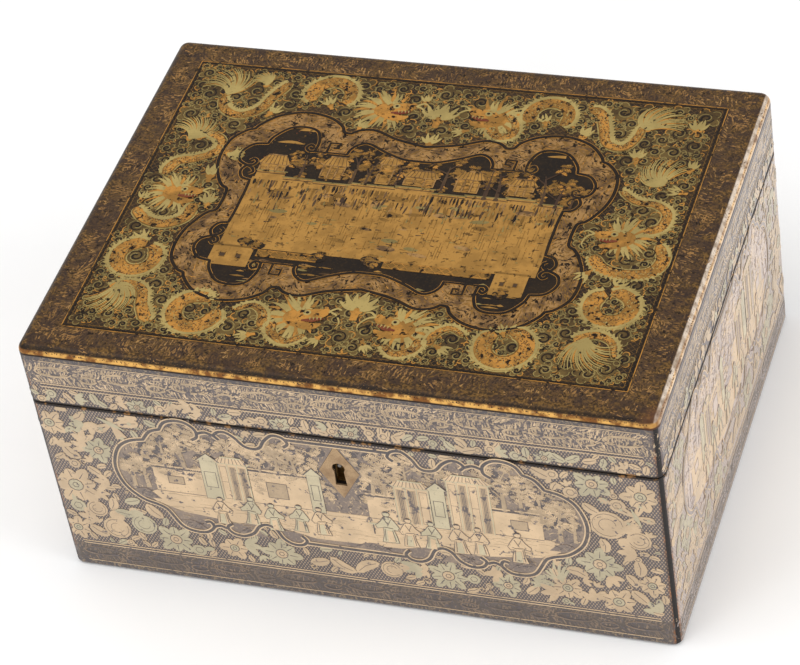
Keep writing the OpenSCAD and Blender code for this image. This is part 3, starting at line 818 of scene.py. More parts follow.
def spray(brush, rng, low, high, across, keep_out, gap, size, tries, curls):
    """Fills what is left of a side's field with leaves, buds and tendrils."""
    line = "side_line"
    for _ in range(tries):
        u = rng.uniform(-across, across)
        v = rng.uniform(low + 1.0, high - 1.0)
        if keep_out(u, v) or not brush.free(u, v, gap * 0.5):
            continue
        turn = rng.uniform(0, 360)
        finish = "petal" if rng.random() < 0.78 else "leafy"
        kind = rng.random()
        length = size * rng.uniform(0.8, 1.15)
        ends = [reach(u, v, length * 0.5, turn), reach(u, v, -length * 0.5, turn)]
        if any(keep_out(*e) or not low < e[1] < high for e in ends):
            length *= 0.6
            kind = 0.1
        a = reach(u, v, -length * 0.5, turn)
        if kind < 0.5:
            leaf(brush, *a, length, turn, length * 0.56, finish, line, MOTIF, rng.uniform(-0.15, 0.15))
        elif kind < 0.75:
            for spread in (-42, 0, 42):
                leaf(brush, *a, length * 0.85, turn + spread, length * 0.36, finish, None, MOTIF, 0.05)
        elif kind < 1.0 - curls:
            disc(brush, u, v, length * 0.36, finish)
            brush.stroke(arc(u, v, length * 0.2, 0, 360, 7), 0.13, line, MOTIF + 1)
            leaf(brush, *reach(u, v, length * 0.3, turn), length * 0.5, turn, length * 0.3, finish)
        else:
            curl = spiral(u, v, 0.5, length * 0.45, turn, 400, 12)
            brush.stroke(curl, taper(12, 0.5, 0.5, 0.22), finish, MOTIF)
        brush.take(u, v, length * 0.36)


def feather(s, t, height, unit):
    """Direction of the foliage at a place along and across a band, or None inside an oval."""
    best, turn = 9.0, 0.0
    near = int(round(2 * s / unit))
    for k in (near - 1, near, near + 1):
        big = k % 2 == 0
        half_s, half_t = (0.27 * unit, 0.2 * height) if big else (0.13 * unit, 0.14 * height)
        ds, dt = s - k * unit / 2, t - (0.07 if big else -0.14) * height
        lean = math.radians(7 if big else -12)
        a = (ds * math.cos(lean) + dt * math.sin(lean)) / half_s
        b = (dt * math.cos(lean) - ds * math.sin(lean)) / half_t
        q = math.hypot(a, b)
        if q < best:
            best = q
            turn = math.atan2(b / half_t, a / half_s + 0.55 / half_t)
    return None if best < 1.0 else turn


def foliage(brush, place, half, height, unit, seed, palette, width, long, keep=None):
    """A band of fine leaf strokes that flow round large ovals, from -half to half along the band."""
    rng = random.Random(seed)
    gap = bpy.context.scene.deed_box_relief.foliage_gap / MM
    rows = max(3, int(height / (gap * 0.95)))
    for i in range(int(2 * half / gap)):
        for j in range(rows):
            s = -half + (i + rng.random()) * gap
            t = (j + 0.5 + rng.uniform(-0.4, 0.4)) * height / rows
            turn = feather(s, t - height / 2, height, unit)
            draw = rng.random()
            inner = turn is None
            if inner:
                turn = math.pi / 2 + rng.uniform(-0.25, 0.25)
            length = long * (1.5 + 1.3 * rng.random()) * (0.8 if inner else 1.0)
            a, b = t, min(max(t + length * math.sin(turn), 0.2), height - 0.2)
            p, q = place(s, a), place(s + length * math.cos(turn), b)
            if keep and not (keep(*p) and keep(*q)):
                continue
            patch = math.sin(0.21 * s + 1.3 * math.sin(0.13 * s)) + math.sin(0.5 * t + 0.3 * s)
            finish = palette["deep"] if draw < 0.4 + 0.25 * patch else palette["band"]
            if draw > 0.84 and not inner:
                finish = palette["main"]
            brush.stroke([p, q], [width * (0.8 + 0.5 * rng.random()), 0.07], finish, 0)


def foliage_rings(brush, place, half, height, unit, palette, width):
    """Double rings round the ovals of a foliage band."""
    for k in range(int(-2 * half / unit), int(2 * half / unit) + 1):
        big = k % 2 == 0
        half_s, half_t = (0.27 * unit, 0.23 * height) if big else (0.13 * unit, 0.16 * height)
        mid_s, mid_t = k * unit / 2, (0.57 if big else 0.36) * height
        for share, finish in ((1.0, palette["band"]), (0.8, palette["deep"])):
            ring = arc(mid_s, mid_t, half_s * share, 20, 350, 20, half_t / half_s)
            ring = [place(s, min(max(t, 0.3), height - 0.3)) for s, t in ring if abs(s) < half]
            if len(ring) > 2:
                brush.stroke(ring, width * 0.8, finish, 1)


def cloud(brush, u, v, size, turn):
    """A curled cloud: a lobed olive puff with a dark spiral and pale curls round its rim."""
    puff = [(u + size * (0.86 + 0.14 * math.cos(5 * a)) * math.cos(a + turn),
             v + size * (0.86 + 0.14 * math.cos(5 * a)) * math.sin(a + turn))
            for a in (2 * math.pi * i / 20 for i in range(20))]
    brush.field(puff, "olive", 0)
    degrees = math.degrees(turn)
    heart = spiral(u, v, size * 0.08, size * 0.5, degrees, 460, 15)
    brush.stroke(heart, taper(15, 0.55, 0.2, 0.35), "line", 1)
    curl = spiral(u, v, size * 0.2, size * 0.62, degrees + 30, 330, 12)
    brush.stroke(curl, taper(12, 0.32, 0.2, 0.2), "moss", 1)
    for k in range(5):
        a = degrees + 72 * k
        rim = arc(*reach(u, v, size * 0.68, a), size * 0.32, a - 100, a + 100, 6)
        brush.stroke(rim, 0.26, "moss" if k % 3 else "gold", 1)


def serpent(brush, path, radius, side, ends):
    """A dragon's body: gold with fine scale marks, a pale serrated edge and a deep belly line."""
    line = smooth(path, 6)
    last = len(line) - 1
    radii = []
    for i in range(last + 1):
        share = i / last
        whole = radius * (ends[0] + (ends[1] - ends[0]) * share)
        radii.append(whole * min(1.0, 0.55 + 7 * share, 0.45 + 7 * (1 - share)))
    brush.stroke(line, [r + 0.7 for r in radii], "green", MOTIF - 1)
    brush.stroke(line, radii, "gold", MOTIF)

    def width(share):
        return radii[min(last, int(share * last))]
    for u, v, turn, share in along(line, 2.1, 0.6):
        r = width(share)
        out = turn + 90 * side
        root = reach(u, v, r * 0.8, out)
        brush.stroke([root, reach(*root, 1.6 + r * 0.25, out + 25 * side)], [1.15, 0.2], "green", MOTIF)
        brush.take(u, v, r + 0.8)
    rng = random.Random(int(path[0][0] * 3))
    for u, v, turn, share in along(line, 1.05, 1.0):
        r = width(share)
        for _ in range(4):
            dot = reach(u, v, r * rng.uniform(-0.8, 0.75), turn + 90)
            brush.stroke([dot, reach(*dot, 1.0, turn + rng.uniform(-70, 70))], [0.26, 0.1],
                         rng.choice(("gold_deep", "umber", "umber", "green")), MOTIF + 1)
    for share, wide, finish in ((0.82, 0.75, "green"), (-0.93, 0.3, "gold_deep")):
        edge = [reach(*line[i], radii[i] * share * side, heading(line, i) + 90) for i in range(last + 1)]
        brush.stroke(edge, wide, finish, MOTIF + 1)


def dragon_head(brush, u, v, size, angle, flip):
    """A head in profile, facing along its own first axis, with mane, horns and whiskers."""
    at = local(u, v, size, angle, flip)
    rng = random.Random(int(u * 7 + v * 3))
    disc(brush, *at(-0.12, 0.02), 0.46 * size, "gold", MOTIF - 1, 0.9)
    for k in range(25):
        turn = 50 + 260 * k / 24
        length = 0.66 + 0.26 * rng.random()
        c, s = math.cos(math.radians(turn)), math.sin(math.radians(turn))
        root = at(-0.1 + 0.34 * c, 0.3 * s)
        knee = at(-0.1 + length * 0.75 * c, length * 0.7 * s + 0.02)
        tip = at(-0.16 + length * c, length * s + 0.1 * c)
        line = smooth([root, knee, tip], 2)
        brush.stroke(line, taper(len(line), 0.075 * size, 0.7, 0.1), "green" if k % 3 else "gold", MOTIF)
    brush.stroke([at(-0.3, 0.04), at(0.0, 0.08), at(0.36, 0.12), at(0.56, 0.15), at(0.68, 0.17)],
                 [0.16 * size, 0.27 * size, 0.19 * size, 0.14 * size, 0.05 * size], "gold", MOTIF + 1)
    brush.stroke([at(-0.16, -0.2), at(0.18, -0.3), at(0.42, -0.29), at(0.54, -0.22)],
                 [0.1 * size, 0.13 * size, 0.09 * size, 0.03 * size], "gold", MOTIF + 1)
    disc(brush, *at(0.6, 0.24), 0.09 * size, "gold", MOTIF + 1)
    brush.stroke([at(0.04, -0.1), at(0.3, -0.1), at(0.56, -0.04)], [0.03 * size, 0.07 * size, 0.03 * size],
                 "russet", MOTIF + 2)
    for k in range(4):
        tooth = [at(0.24 + 0.09 * k, 0.0), at(0.25 + 0.09 * k, -0.1)]
        brush.stroke(tooth, [0.025 * size, 0.06], "green", MOTIF + 3)
    disc(brush, *at(0.14, 0.17), 0.1 * size, "green", MOTIF + 2)
    disc(brush, *at(0.15, 0.17), 0.045 * size, "line", MOTIF + 3)
    brush.stroke([at(0.0, 0.28), at(0.14, 0.33), at(0.3, 0.28)], taper(3, 0.06 * size), "green", MOTIF + 2)
    for lift in (0.0, 0.14):
        horn = smooth([at(-0.06, 0.25), at(-0.25, 0.42 + lift), at(-0.42, 0.66 + lift)], 3)
        brush.stroke(horn, taper(len(horn), 0.07 * size, 0.6, 0.12), "green", MOTIF + 2)
    for lift in (0.1, -0.12):
        whisker = smooth([at(0.66, 0.2), at(0.86, 0.22 + lift), at(0.98, 0.06 + 2 * lift),
                          at(0.9, 3.2 * lift)], 4)
        brush.stroke(whisker, taper(len(whisker), 0.035 * size, 0.5, 0.16), "green", MOTIF + 1)
    brush.take(u, v, size * 0.7)
    brush.take(*at(-0.4, 0), size * 0.5)
    brush.take(*at(0.4, 0), size * 0.35)


def claw(brush, u, v, size, angle, prongs, spread):
    """Pale flame-like fingers from a palm."""
    wrist = [reach(u, v, -size * 0.55, angle), reach(u, v, size * 0.1, angle)]
    brush.stroke(wrist, [0.12 * size, 0.17 * size], "gold", MOTIF)
    disc(brush, u, v, 0.26 * size, "gold", MOTIF)
    radii = [0.12 * size * share for share in (0.7, 1.0, 1.1, 1.0, 0.75, 0.45, 0.12)]
    for k in range(prongs):
        turn = angle - spread / 2 + spread * k / (prongs - 1)
        lean = 20 if turn < angle else -20
        far = size * (1.0 if k % 2 else 0.86)
        knee = reach(u, v, far * 0.5, turn)
        line = [reach(u, v, size * 0.1, turn), knee, reach(*knee, far * 0.5, turn + lean)]
        brush.stroke(smooth(line, 3), radii, "green", MOTIF + 1)
    brush.take(*reach(u, v, size * 0.4, angle), size * 0.55)


def tail(brush, u, v, length, angle, spread, curl):
    """A feathery tail: fine hairs curling from one root to a rounded end."""
    rng = random.Random(int(u * 5 - v * 11))
    hairs = 26
    for k in range(hairs):
        share = k / (hairs - 1)
        turn = angle - spread / 2 + spread * share
        far = length * (0.62 + 0.38 * math.sin(math.pi * (0.15 + 0.7 * share))) * rng.uniform(0.9, 1.0)
        bend = curl * (0.8 + 0.9 * share)
        points = [(u, v)]
        for step in range(4):
            points.append(reach(*points[-1], far * 0.27, turn + bend * (step / 3 - 0.3)))
        line = smooth(points, 2)
        finish = "green" if k % 4 else "gold"
        brush.stroke(line, taper(len(line), 0.62, 0.55, 0.16), finish, MOTIF + k % 2)
    disc(brush, u, v, 1.6, "gold", MOTIF)
    brush.take(*reach(u, v, length * 0.5, angle + curl * 0.4), length * 0.46)


# Pictures.

def box_field(brush, left, right, low, high, finish, level):
    brush.field([(left, low), (right, low), (right, high), (left, high)], finish, level)


def frame_line(brush, left, right, low, high, finish, level, radius=0.16):
    brush.stroke([(left, low), (right, low), (right, high), (left, high), (left, low)], radius, finish, level)


def tree(brush, u, low, height, seed, palette, spread=0.45, level=2):
    """A trunk with branches that carry masses of foliage."""
    rng = random.Random(seed)
    lean = rng.uniform(-0.12, 0.12) * height
    trunk = smooth([(u, low), (u + lean * 0.3, low + height * 0.4), (u + lean, low + height * 0.75)], 3)
    brush.stroke(trunk, taper(len(trunk), height * 0.035 + 0.25, 0.6, 0.2), palette["deep"], level + 1)
    for k in range(4):
        side = 1 if k % 2 else -1
        root = trunk[min(len(trunk) - 1, 2 + k * len(trunk) // 6)]
        tip = (root[0] + side * height * spread * rng.uniform(0.2, 0.85),
               root[1] + height * rng.uniform(0.08, 0.32))
        brush.stroke([root, tip], [0.45, 0.2], palette["deep"], level + 1)
        canopy(brush, *tip, height * 0.12 + 1.5, rng, palette, level)


def canopy(brush, u, v, size, rng, palette, level=1):
    """A rounded mass of foliage: a dark shadow with fans of fine leaves."""
    disc(brush, u, v, size * 1.05, palette["line"], level - 1, 0.85)
    for k in range(7):
        a = 51 * k + rng.uniform(-15, 15)
        far = size * (0.2 if k % 3 == 0 else 0.62)
        centre = reach(u, v, far * rng.uniform(0.85, 1.1), a)
        lean = 90 + rng.uniform(-35, 35)
        finish = palette["pale"] if rng.random() < 0.25 else palette["main"]
        disc(brush, *centre, size * 0.22, palette["deep"], level, 0.9)
        for step in range(5):
            turn = lean + (step - 2) * 34
            brush.stroke([reach(*centre, 0.3, turn), reach(*centre, size * 0.38, turn)], [0.14, 0.36], finish,
                         level + 1)


def roof(brush, left, right, low, height, palette, level):
    """A tiled roof with lifted eaves."""
    over = 1.6
    mid, hip = (left + right) / 2, (right - left) * 0.14
    outline = [(left - over, low + 0.8), (left - over * 0.2, low), (right + over * 0.2, low),
               (right + over, low + 0.8), (right - hip, low + height), (left + hip, low + height)]
    brush.field(outline, palette["main"], level)
    count = max(3, int((right - left) / 1.9))
    for k in range(count + 1):
        a = left + (right - left) * (k / count)
        b = mid + (a - mid) * 0.74
        brush.stroke([(a, low + 0.2), (b, low + height - 0.3)], 0.13, palette["line"], level + 1)
    brush.stroke([outline[-1], outline[-2]], 0.42, palette["pale"], level + 1)
    eaves = [(left - over - 0.5, low + 1.3), outline[1], outline[2], (right + over + 0.5, low + 1.3)]
    brush.stroke(eaves, 0.26, palette["pale"], level + 1)


def hall(brush, left, right, low, high, palette, bays, open_bays, roof_height):
    """An open hall: posts, dark bays with lattice, and a roof."""
    level = 2
    box_field(brush, left, right, low, high, palette["main"], level)
    wide = (right - left) / bays
    for k in range(bays):
        a, b = left + k * wide + wide * 0.16, left + (k + 1) * wide - wide * 0.16
        if k in open_bays:
            box_field(brush, a, b, low + 0.5, high - 1.8, palette["deep"], level + 1)
            for step in (0.3, 0.5, 0.7):
                c = a + (b - a) * step
                brush.stroke([(c, low + 0.7), (c, high - 2.2)], 0.12, palette["line"], level + 2)
        else:
            frame_line(brush, a, b, low + 1.0, high - 2.0, palette["line"], level + 1, 0.12)
            brush.stroke([(a, (low + high) / 2), (b, (low + high) / 2)], 0.1, palette["line"], level + 1)
    for k in range(bays + 1):
        a = left + k * wide
        brush.stroke([(a, low), (a, high)], 0.28, palette["pale"], level + 2)
    roof(brush, left, right, high, roof_height, palette, level + 1)


def figure(brush, u, low, height, palette, seed):
    """A small robed figure without features."""
    level = 3
    rng = random.Random(seed)
    robe, sash = palette["main"], palette["pale"]
    if rng.random() >= 0.55:
        robe, sash = sash, robe
    at = local(u, low, height, rng.uniform(-4, 4), 1 if seed % 2 else -1)
    body = [at(a, b) for a, b in ((-0.19, 0.0), (-0.16, 0.22), (-0.11, 0.42), (-0.2, 0.4), (-0.25, 0.5),
                                  (-0.17, 0.66), (-0.09, 0.79), (0.0, 0.83), (0.09, 0.79), (0.18, 0.64),
                                  (0.3, 0.52), (0.27, 0.42), (0.12, 0.47), (0.14, 0.22), (0.2, 0.0))]
    brush.field(body, robe, level)
    brush.stroke(body + body[:1], 0.16, palette["line"], level + 1)
    brush.field([at(-0.1, 0.02), at(-0.07, 0.36), at(0.05, 0.38), at(0.06, 0.02)], sash, level + 1)
    for a, b, c, d in ((-0.12, 0.05, -0.08, 0.4), (0.12, 0.05, 0.09, 0.42), (-0.1, 0.46, 0.11, 0.48),
                       (-0.08, 0.74, 0.02, 0.52), (0.08, 0.74, 0.0, 0.56)):
        brush.stroke([at(a, b), at(c, d)], 0.13, palette["line"], level + 2)
    disc(brush, *at(0.01, 0.9), 0.085 * height, robe, level + 1)
    brush.stroke(arc(*at(0.01, 0.9), 0.085 * height, 0, 360, 11), 0.13, palette["line"], level + 2)
    hair = [at(-0.04, 0.95), at(0.01, 0.965), at(0.06, 0.95)]
    brush.stroke(hair, 0.014 * height, palette["line"], level + 3)


def lattice(brush, left, right, low, high, finish):
    """A garden fence: two rails and crossed bars."""
    for v in (low, high):
        brush.stroke([(left, v), (right, v)], 0.24, finish, 3)
    step = (high - low) * 1.1
    a = left
    while a + step <= right:
        brush.stroke([(a, low), (a + step, high)], 0.14, finish, 3)
        brush.stroke([(a, high), (a + step, low)], 0.14, finish, 3)
        a += step


# Outlines. A quarter or half is drawn once and mirrored.

BAND_OUTER = [(-2.5, 49.5), (13.0, 53.0), (25.0, 58.0), (32.6, 57.2), (36.7, 54.1), (36.7, 54.1),
              (40.3, 54.7), (43.2, 59.3), (51.3, 64.5), (63.7, 66.5), (76.1, 62.4), (83.3, 55.1),
              (85.3, 51.1), (85.3, 51.1), (89.5, 48.9), (94.7, 41.7), (96.2, 31.3), (94.7, 21.1),
              (90.5, 11.7), (87.4, 7.7), (87.4, 7.7), (84.5, 5.6), (83.8, -1.7)]
BAND_INNER = [(-2.5, 38.6), (5.7, 39.1), (16.1, 43.2), (25.4, 47.9), (30.6, 46.3), (33.4, 42.2),
              (33.9, 38.6), (33.9, 38.6), (50.6, 38.6), (50.6, 38.6), (50.2, 44.0), (51.2, 48.9),
              (53.8, 53.6), (59.5, 55.6), (67.8, 54.1), (73.9, 46.8), (75.5, 41.2), (75.5, 41.2),
              (82.3, 39.6), (86.4, 33.4), (85.3, 27.2), (80.6, 24.2), (80.6, 24.2), (82.4, 20.0),
              (80.2, 15.2), (75.6, 13.8), (75.6, 13.8), (75.2, 6.0), (75.2, -1.7)]
BAND_SCROLLS = [
    [(44.5, 38.6), (44.5, 45.8), (44.5, 45.8), (39.4, 46.0), (39.4, 46.0), (39.4, 42.4), (39.4, 42.4),
     (42.0, 42.4)],
    [(50.6, 38.8), (53.4, 38.6), (55.2, 40.8), (53.8, 43.2), (51.9, 42.2)],
    [(80.6, 24.2), (77.6, 24.8), (76.4, 27.6), (78.4, 29.4), (80.0, 27.8)],
    [(80.6, 24.2), (77.4, 22.6), (76.0, 19.8), (77.8, 18.2)],
]
CARTOUCHE = [
    [(-27.5, 101.0), (-25.0, 103.6), (-27.2, 107.2), (-32.2, 107.8), (-36.6, 103.6), (-39.2, 99.0),
     (-42.6, 97.4), (-47.2, 98.6), (-51.0, 103.2), (-55.0, 106.0), (-58.7, 105.8), (-61.2, 103.2),
     (-59.2, 100.6)],
    [(-61.4, 102.8), (-65.5, 104.4), (-69.6, 103.0)],
    [(-73.2, 98.2), (-70.2, 100.6), (-70.4, 105.2), (-74.6, 109.0), (-80.2, 109.6), (-85.6, 107.4),
     (-88.6, 102.6), (-88.6, 102.6), (-94.0, 100.2), (-98.2, 94.4), (-98.2, 94.4), (-106.0, 92.2),
     (-112.6, 86.2), (-116.2, 74.0), (-113.6, 62.0), (-106.2, 53.9), (-98.9, 51.1), (-98.9, 51.1),
     (-94.6, 48.6), (-91.6, 43.3), (-91.6, 43.3), (-88.4, 38.0), (-83.4, 35.6), (-76.6, 35.8),
     (-72.2, 39.8), (-73.4, 43.4), (-76.0, 42.8)],
    [(-72.0, 40.2), (-68.8, 41.6), (-65.4, 40.2)],
    [(-62.6, 43.8), (-65.0, 41.2), (-62.8, 37.6), (-57.4, 36.6), (-52.0, 39.5), (-48.5, 44.6),
     (-44.4, 46.6), (-40.2, 44.4), (-37.2, 38.6), (-33.0, 35.6), (-28.0, 35.8), (-25.4, 39.0),
     (-27.4, 42.0)],
]
PICTURE_HALF = [(-0.9, 106.0), (-26.0, 106.0), (-32.2, 107.6), (-36.6, 103.4), (-42.6, 97.6),
                (-47.2, 98.8), (-51.0, 103.4), (-57.0, 105.8), (-61.4, 103.0), (-65.5, 104.2),
                (-70.0, 104.0), (-74.6, 108.8), (-80.2, 109.4), (-85.6, 107.2), (-88.6, 102.6),
                (-94.0, 100.0), (-98.2, 94.4), (-106.0, 92.0), (-112.6, 86.0), (-116.0, 74.0),
                (-113.4, 62.0), (-106.0, 54.0), (-98.9, 51.2), (-94.6, 48.6), (-91.6, 43.5),
                (-88.4, 38.2), (-83.4, 35.8), (-76.6, 36.0), (-72.0, 40.2), (-68.8, 41.5), (-65.4, 40.2),
                (-62.8, 37.8), (-57.4, 36.8), (-52.0, 39.6), (-48.5, 44.7), (-44.4, 46.8), (-40.2, 44.5),
                (-37.2, 38.8), (-33.0, 35.8), (-26.0, 37.4), (-0.9, 37.4)]


# Places and sizes of the ornament's parts.

# The palace in the lid's picture: left, right and top of its parapets; left, right, foot, top and height of
# the roof of its halls; place, foot and height of its trees.
PARAPETS = ((-79.0, -64.5, 21.5), (-64.5, -49.0, 18.0), (-49.0, -31.0, 17.0), (-31.0, -8.0, 18.5),
            (-8.0, 11.0, 19.5), (11.0, 27.0, 17.0), (27.0, 47.0, 18.0), (47.0, 61.0, 19.0),
            (61.0, 74.0, 17.0))
PALACE_HALLS = ((-79, -66, 21, 26.5, 7.0), (-47.5, -36.5, 20, 29.5, 6.5), (-19.5, -12.5, 20, 34, 5.0),
                (-5.5, 9.5, 21, 27, 5.0), (20.0, 31.5, 20, 29, 6.0), (46.0, 58.0, 21, 28, 5.0))
PALACE_TREES = ((-57, 19, 22), (-31, 18, 26), (-24, 19, 22), (-9, 20, 19), (14, 19, 24), (36, 16, 29),
                (42, 16, 26), (64, 16, 28), (71, 15, 22), (78, 14, 18))

# Ringed dragons: middle, radius, two angles, points, body radius, side of the edge, shares at the two ends.
DRAGON_RINGS = (
    (-60.5, 81.6, 10.3, -35, 215, 14, 5.2, -1, (0.75, 1.0)),
    (51.0, 80.6, 10.3, 215, -40, 14, 5.0, 1, (0.9, 0.7)),
    (-116.5, -47.4, 9.9, 80, 425, 18, 5.0, -1, (1.0, 0.8)),
    (114.5, -46.4, 10.0, 120, 465, 18, 5.0, -1, (1.0, 0.8)),
    (-75.5, -79.4, 10.7, 60, 375, 18, 5.2, -1, (0.85, 1.0)),
    (73.5, -79.4, 10.7, 130, 455, 18, 5.2, -1, (1.0, 0.85)))
# Other dragons: body radius, side of the edge, shares at the two ends, path.
DRAGON_BODIES = (
    (3.7, 1, (0.6, 0.9), [(31.0, 79.0), (37.0, 72.0), (37.0, 64.0), (30.0, 61.5), (24.0, 67.0)]),
    (3.6, 1, (1.0, 0.7), [(70.0, 89.0), (76.0, 86.0), (80.0, 76.0), (84.0, 65.0), (92.0, 63.0), (96.5, 71.0),
                          (97.0, 80.0)]),
    (3.5, 1, (0.8, 1.0), [(-114.0, 73.0), (-111.0, 64.5), (-102.0, 60.5), (-93.5, 66.0), (-90.0, 76.0),
                          (-84.5, 88.0)]),
    (3.6, -1, (0.7, 1.0), [(-114.5, 45.0), (-105.5, 41.0), (-104.0, 33.0), (-112.0, 26.0), (-121.5, 22.0),
                           (-125.0, 12.0)]),
    (4.2, -1, (0.9, 0.8), [(-102.5, -7.0), (-103.5, -17.0), (-112.0, -22.5), (-122.0, -20.5),
                           (-129.0, -13.5)]),
    (4.0, 1, (0.6, 1.0), [(-122.0, -69.0), (-113.5, -65.0), (-105.0, -69.0), (-101.5, -79.0),
                          (-95.5, -89.0)]),
    (3.2, 1, (0.5, 1.0), [(-57.5, -75.0), (-50.0, -70.5), (-43.0, -75.0), (-41.0, -84.5)]),
    (3.3, 1, (0.6, 1.0), [(-19.0, -87.0), (-27.0, -92.5), (-35.5, -88.0), (-38.0, -80.5)]),
    (3.2, 1, (1.0, 0.5), [(38.0, -84.0), (39.5, -76.0), (46.0, -71.0), (54.0, -75.5)]),
    (3.3, -1, (0.6, 1.0), [(18.0, -87.5), (25.0, -92.5), (33.0, -88.5), (35.0, -80.5)]),
    (4.1, 1, (0.8, 0.8), [(126.0, -2.0), (130.0, -12.0), (126.0, -21.5), (114.0, -24.5), (103.0, -21.5),
                          (97.0, -14.0)]),
    (3.5, 1, (0.6, 1.0), [(99.0, 33.0), (108.0, 26.0), (118.0, 25.0), (125.0, 19.0), (124.0, 9.0),
                          (117.0, 5.0)]),
    (3.4, 1, (1.0, 0.5), [(103.0, -70.0), (112.0, -65.0), (121.0, -69.0), (124.5, -79.0)]))
# Heads: place, size, angle, 1 or -1 for the way they face.
DRAGON_HEADS = ((-28.0, 74.0, 18.5, 4, 1), (23.5, 74.5, 18.5, -6, -1), (-25.0, -75.5, 19.0, 8, 1),
                (22.0, -75.5, 19.0, -8, -1), (-112.5, -0.5, 17.5, 0, 1), (106.5, -1.0, 17.5, 8, -1))
# Claws: place, size, angle, number of fingers, spread in degrees.
DRAGON_CLAWS = (
    (-2.5, 71.0, 12.5, 90, 7, 150), (-1.5, 52.5, 8.0, 90, 5, 120), (-38.5, 59.0, 7.0, 70, 4, 95),
    (-0.5, -66.5, 13.0, 90, 7, 150), (100.5, 56.0, 7.5, 95, 5, 110), (124.5, 80.0, 8.5, 95, 5, 110),
    (-59.0, 74.0, 7.0, 120, 4, 100), (50.0, 76.0, 6.5, 110, 4, 100), (-101.0, 14.0, 9.0, 95, 4, 60),
    (-95.5, -5.5, 8.0, 100, 5, 110), (-86.5, 64.0, 7.5, 60, 4, 90), (71.0, 68.0, 8.5, 75, 4, 70),
    (126.5, 35.0, 7.0, 170, 4, 90), (97.5, -26.5, 7.0, 230, 4, 100), (114.0, -33.0, 7.0, 80, 4, 100),
    (-118.5, -34.0, 6.5, 110, 4, 100), (-46.0, -90.5, 7.0, 200, 4, 95), (44.5, -85.0, 6.5, 330, 4, 95),
    (-72.0, -70.0, 6.0, 50, 4, 100), (70.0, -70.5, 6.0, 120, 4, 100), (-128.5, -7.0, 6.0, 90, 4, 90),
    (12.0, 63.5, 6.0, 200, 4, 90), (9.5, -88.5, 6.0, 300, 4, 90), (-13.0, -88.0, 6.0, 240, 4, 90),
    (128.0, 52.0, 6.5, 80, 4, 80), (-12.0, 82.5, 6.0, 100, 4, 80))
# Tails: place, length, angle, spread and curl in degrees.
DRAGON_TAILS = (
    (-113.5, 74.5, 21.0, 92, 110, 52), (100.5, 77.0, 21.0, 68, 115, -52), (-121.0, 39.0, 19.0, 78, 110, 50),
    (117.5, 38.5, 20.0, 115, 115, -50), (-119.0, -66.0, 22.0, 285, 105, -50),
    (109.0, -68.0, 23.0, 280, 115, 50), (-96.0, 84.0, 11.0, 110, 90, 45), (-98.0, 31.0, 9.0, 0, 90, 45))

# The gardens on the sides: outline of the terrace; place, half width and height of the rocks; place, foot and
# height of the trees; places of the figures.
TERRACE = ((-99, 53), (-104, 58), (-96, 61.5), (96, 61.5), (104, 58), (98, 53), (90, 49), (60, 44.5),
           (44, 48.5), (34, 45.5), (22, 42.5), (-20, 41.5), (-34, 45), (-44, 48.5), (-58, 45), (-86, 48))
ROCKS = ((-84, 9, 5), (-52, 8, 5), (8, 11, 6), (50, 9, 6), (84, 10, 6), (-104, 8, 6), (103, 8, 5))
GARDEN_TREES = (
    (-108, 60, 26), (-101, 62, 30), (-90, 77, 24), (-80, 77, 30), (-57, 88, 17), (-42, 82, 17), (-33, 82, 22),
    (-24, 83, 20), (13, 77, 25), (19, 77, 22), (30, 88, 15), (45, 88, 12), (76, 77, 30), (84, 77, 26),
    (93, 72, 24), (101, 62, 30), (108, 62, 22))
FIGURES_WIDE = (-66, -51, -39.5, -27, -15.5, 17.5, 27.5, 38, 52, 61.5, 80)
FIGURES_NARROW = (-64, -45, -28, -10, 14, 33, 52, 76)

# Flowers of the sides: place, radius, petals, gilding of the petals and of the heart.
FLOWERS = (
    (-140, 57, 10.0, 8, "petal", "leafy"), (-123, 83, 6.5, 7, "leafy", "petal"),
    (-94, 27.5, 8.0, 8, "leafy", "petal"), (-40, 27.5, 8.0, 8, "leafy", "petal"),
    (43, 28, 8.0, 9, "leafy", "petal"), (118, 50, 8.5, 8, "leafy", "petal"),
    (119, 102.5, 7.5, 8, "leafy", "petal"), (125, 26, 7.5, 7, "petal", "leafy"),
    (101, 31, 6.5, 8, "petal", "leafy"), (-145, 98, 7.0, 8, "petal", "leafy"),
    (-64, 27, 6.0, 6, "petal", "leafy"), (72, 27, 6.0, 7, "leafy", "petal"),
    (142, 40, 6.0, 7, "petal", "leafy"), (141, 98, 7.5, 7, "petal", "leafy"),
    (-145, 27, 6.0, 7, "petal", "leafy"))
# Fruit of the sides: place, radius, angle of the neck, gilding.
FRUIT = ((-124, 30, 6.0, 80, "petal"), (-109, 35, 5.5, 110, "leafy"), (124, 77, 7.5, 0, "petal"),
         (15, 27, 4.6, 20, "petal"), (138, 69, 5.0, 200, "petal"), (-132, 42, 4.5, 100, "petal"))

# Lines along the bands of the sides: height, radius, gilding.
FOOT_LINES = ((4.4, 0.2, "peach"), (16.4, 0.28, "peach"), (17.1, 0.3, "side_line"), (17.9, 0.28, "peach"))
LID_LINES = ((BAND_TOP, 0.2, "peach"), (123.6, 0.28, "peach"), (122.6, 0.35, "side_line"),
             (121.6, 0.28, "peach"))


def four_fold(quarter):
    """A closed outline from its quarter above and to the right of the middle."""
    half = quarter + mirror(quarter, TOP_MID[1], 1)
    return half + mirror(half, TOP_MID[0], 0)


def all_corners(line):
    """A line and its mirror images in the four corners of the lid's cartouche."""
    low = mirror(line, TOP_MID[1], 1)
    return [line, low, mirror(line, TOP_MID[0], 0), mirror(low, TOP_MID[0], 0)]


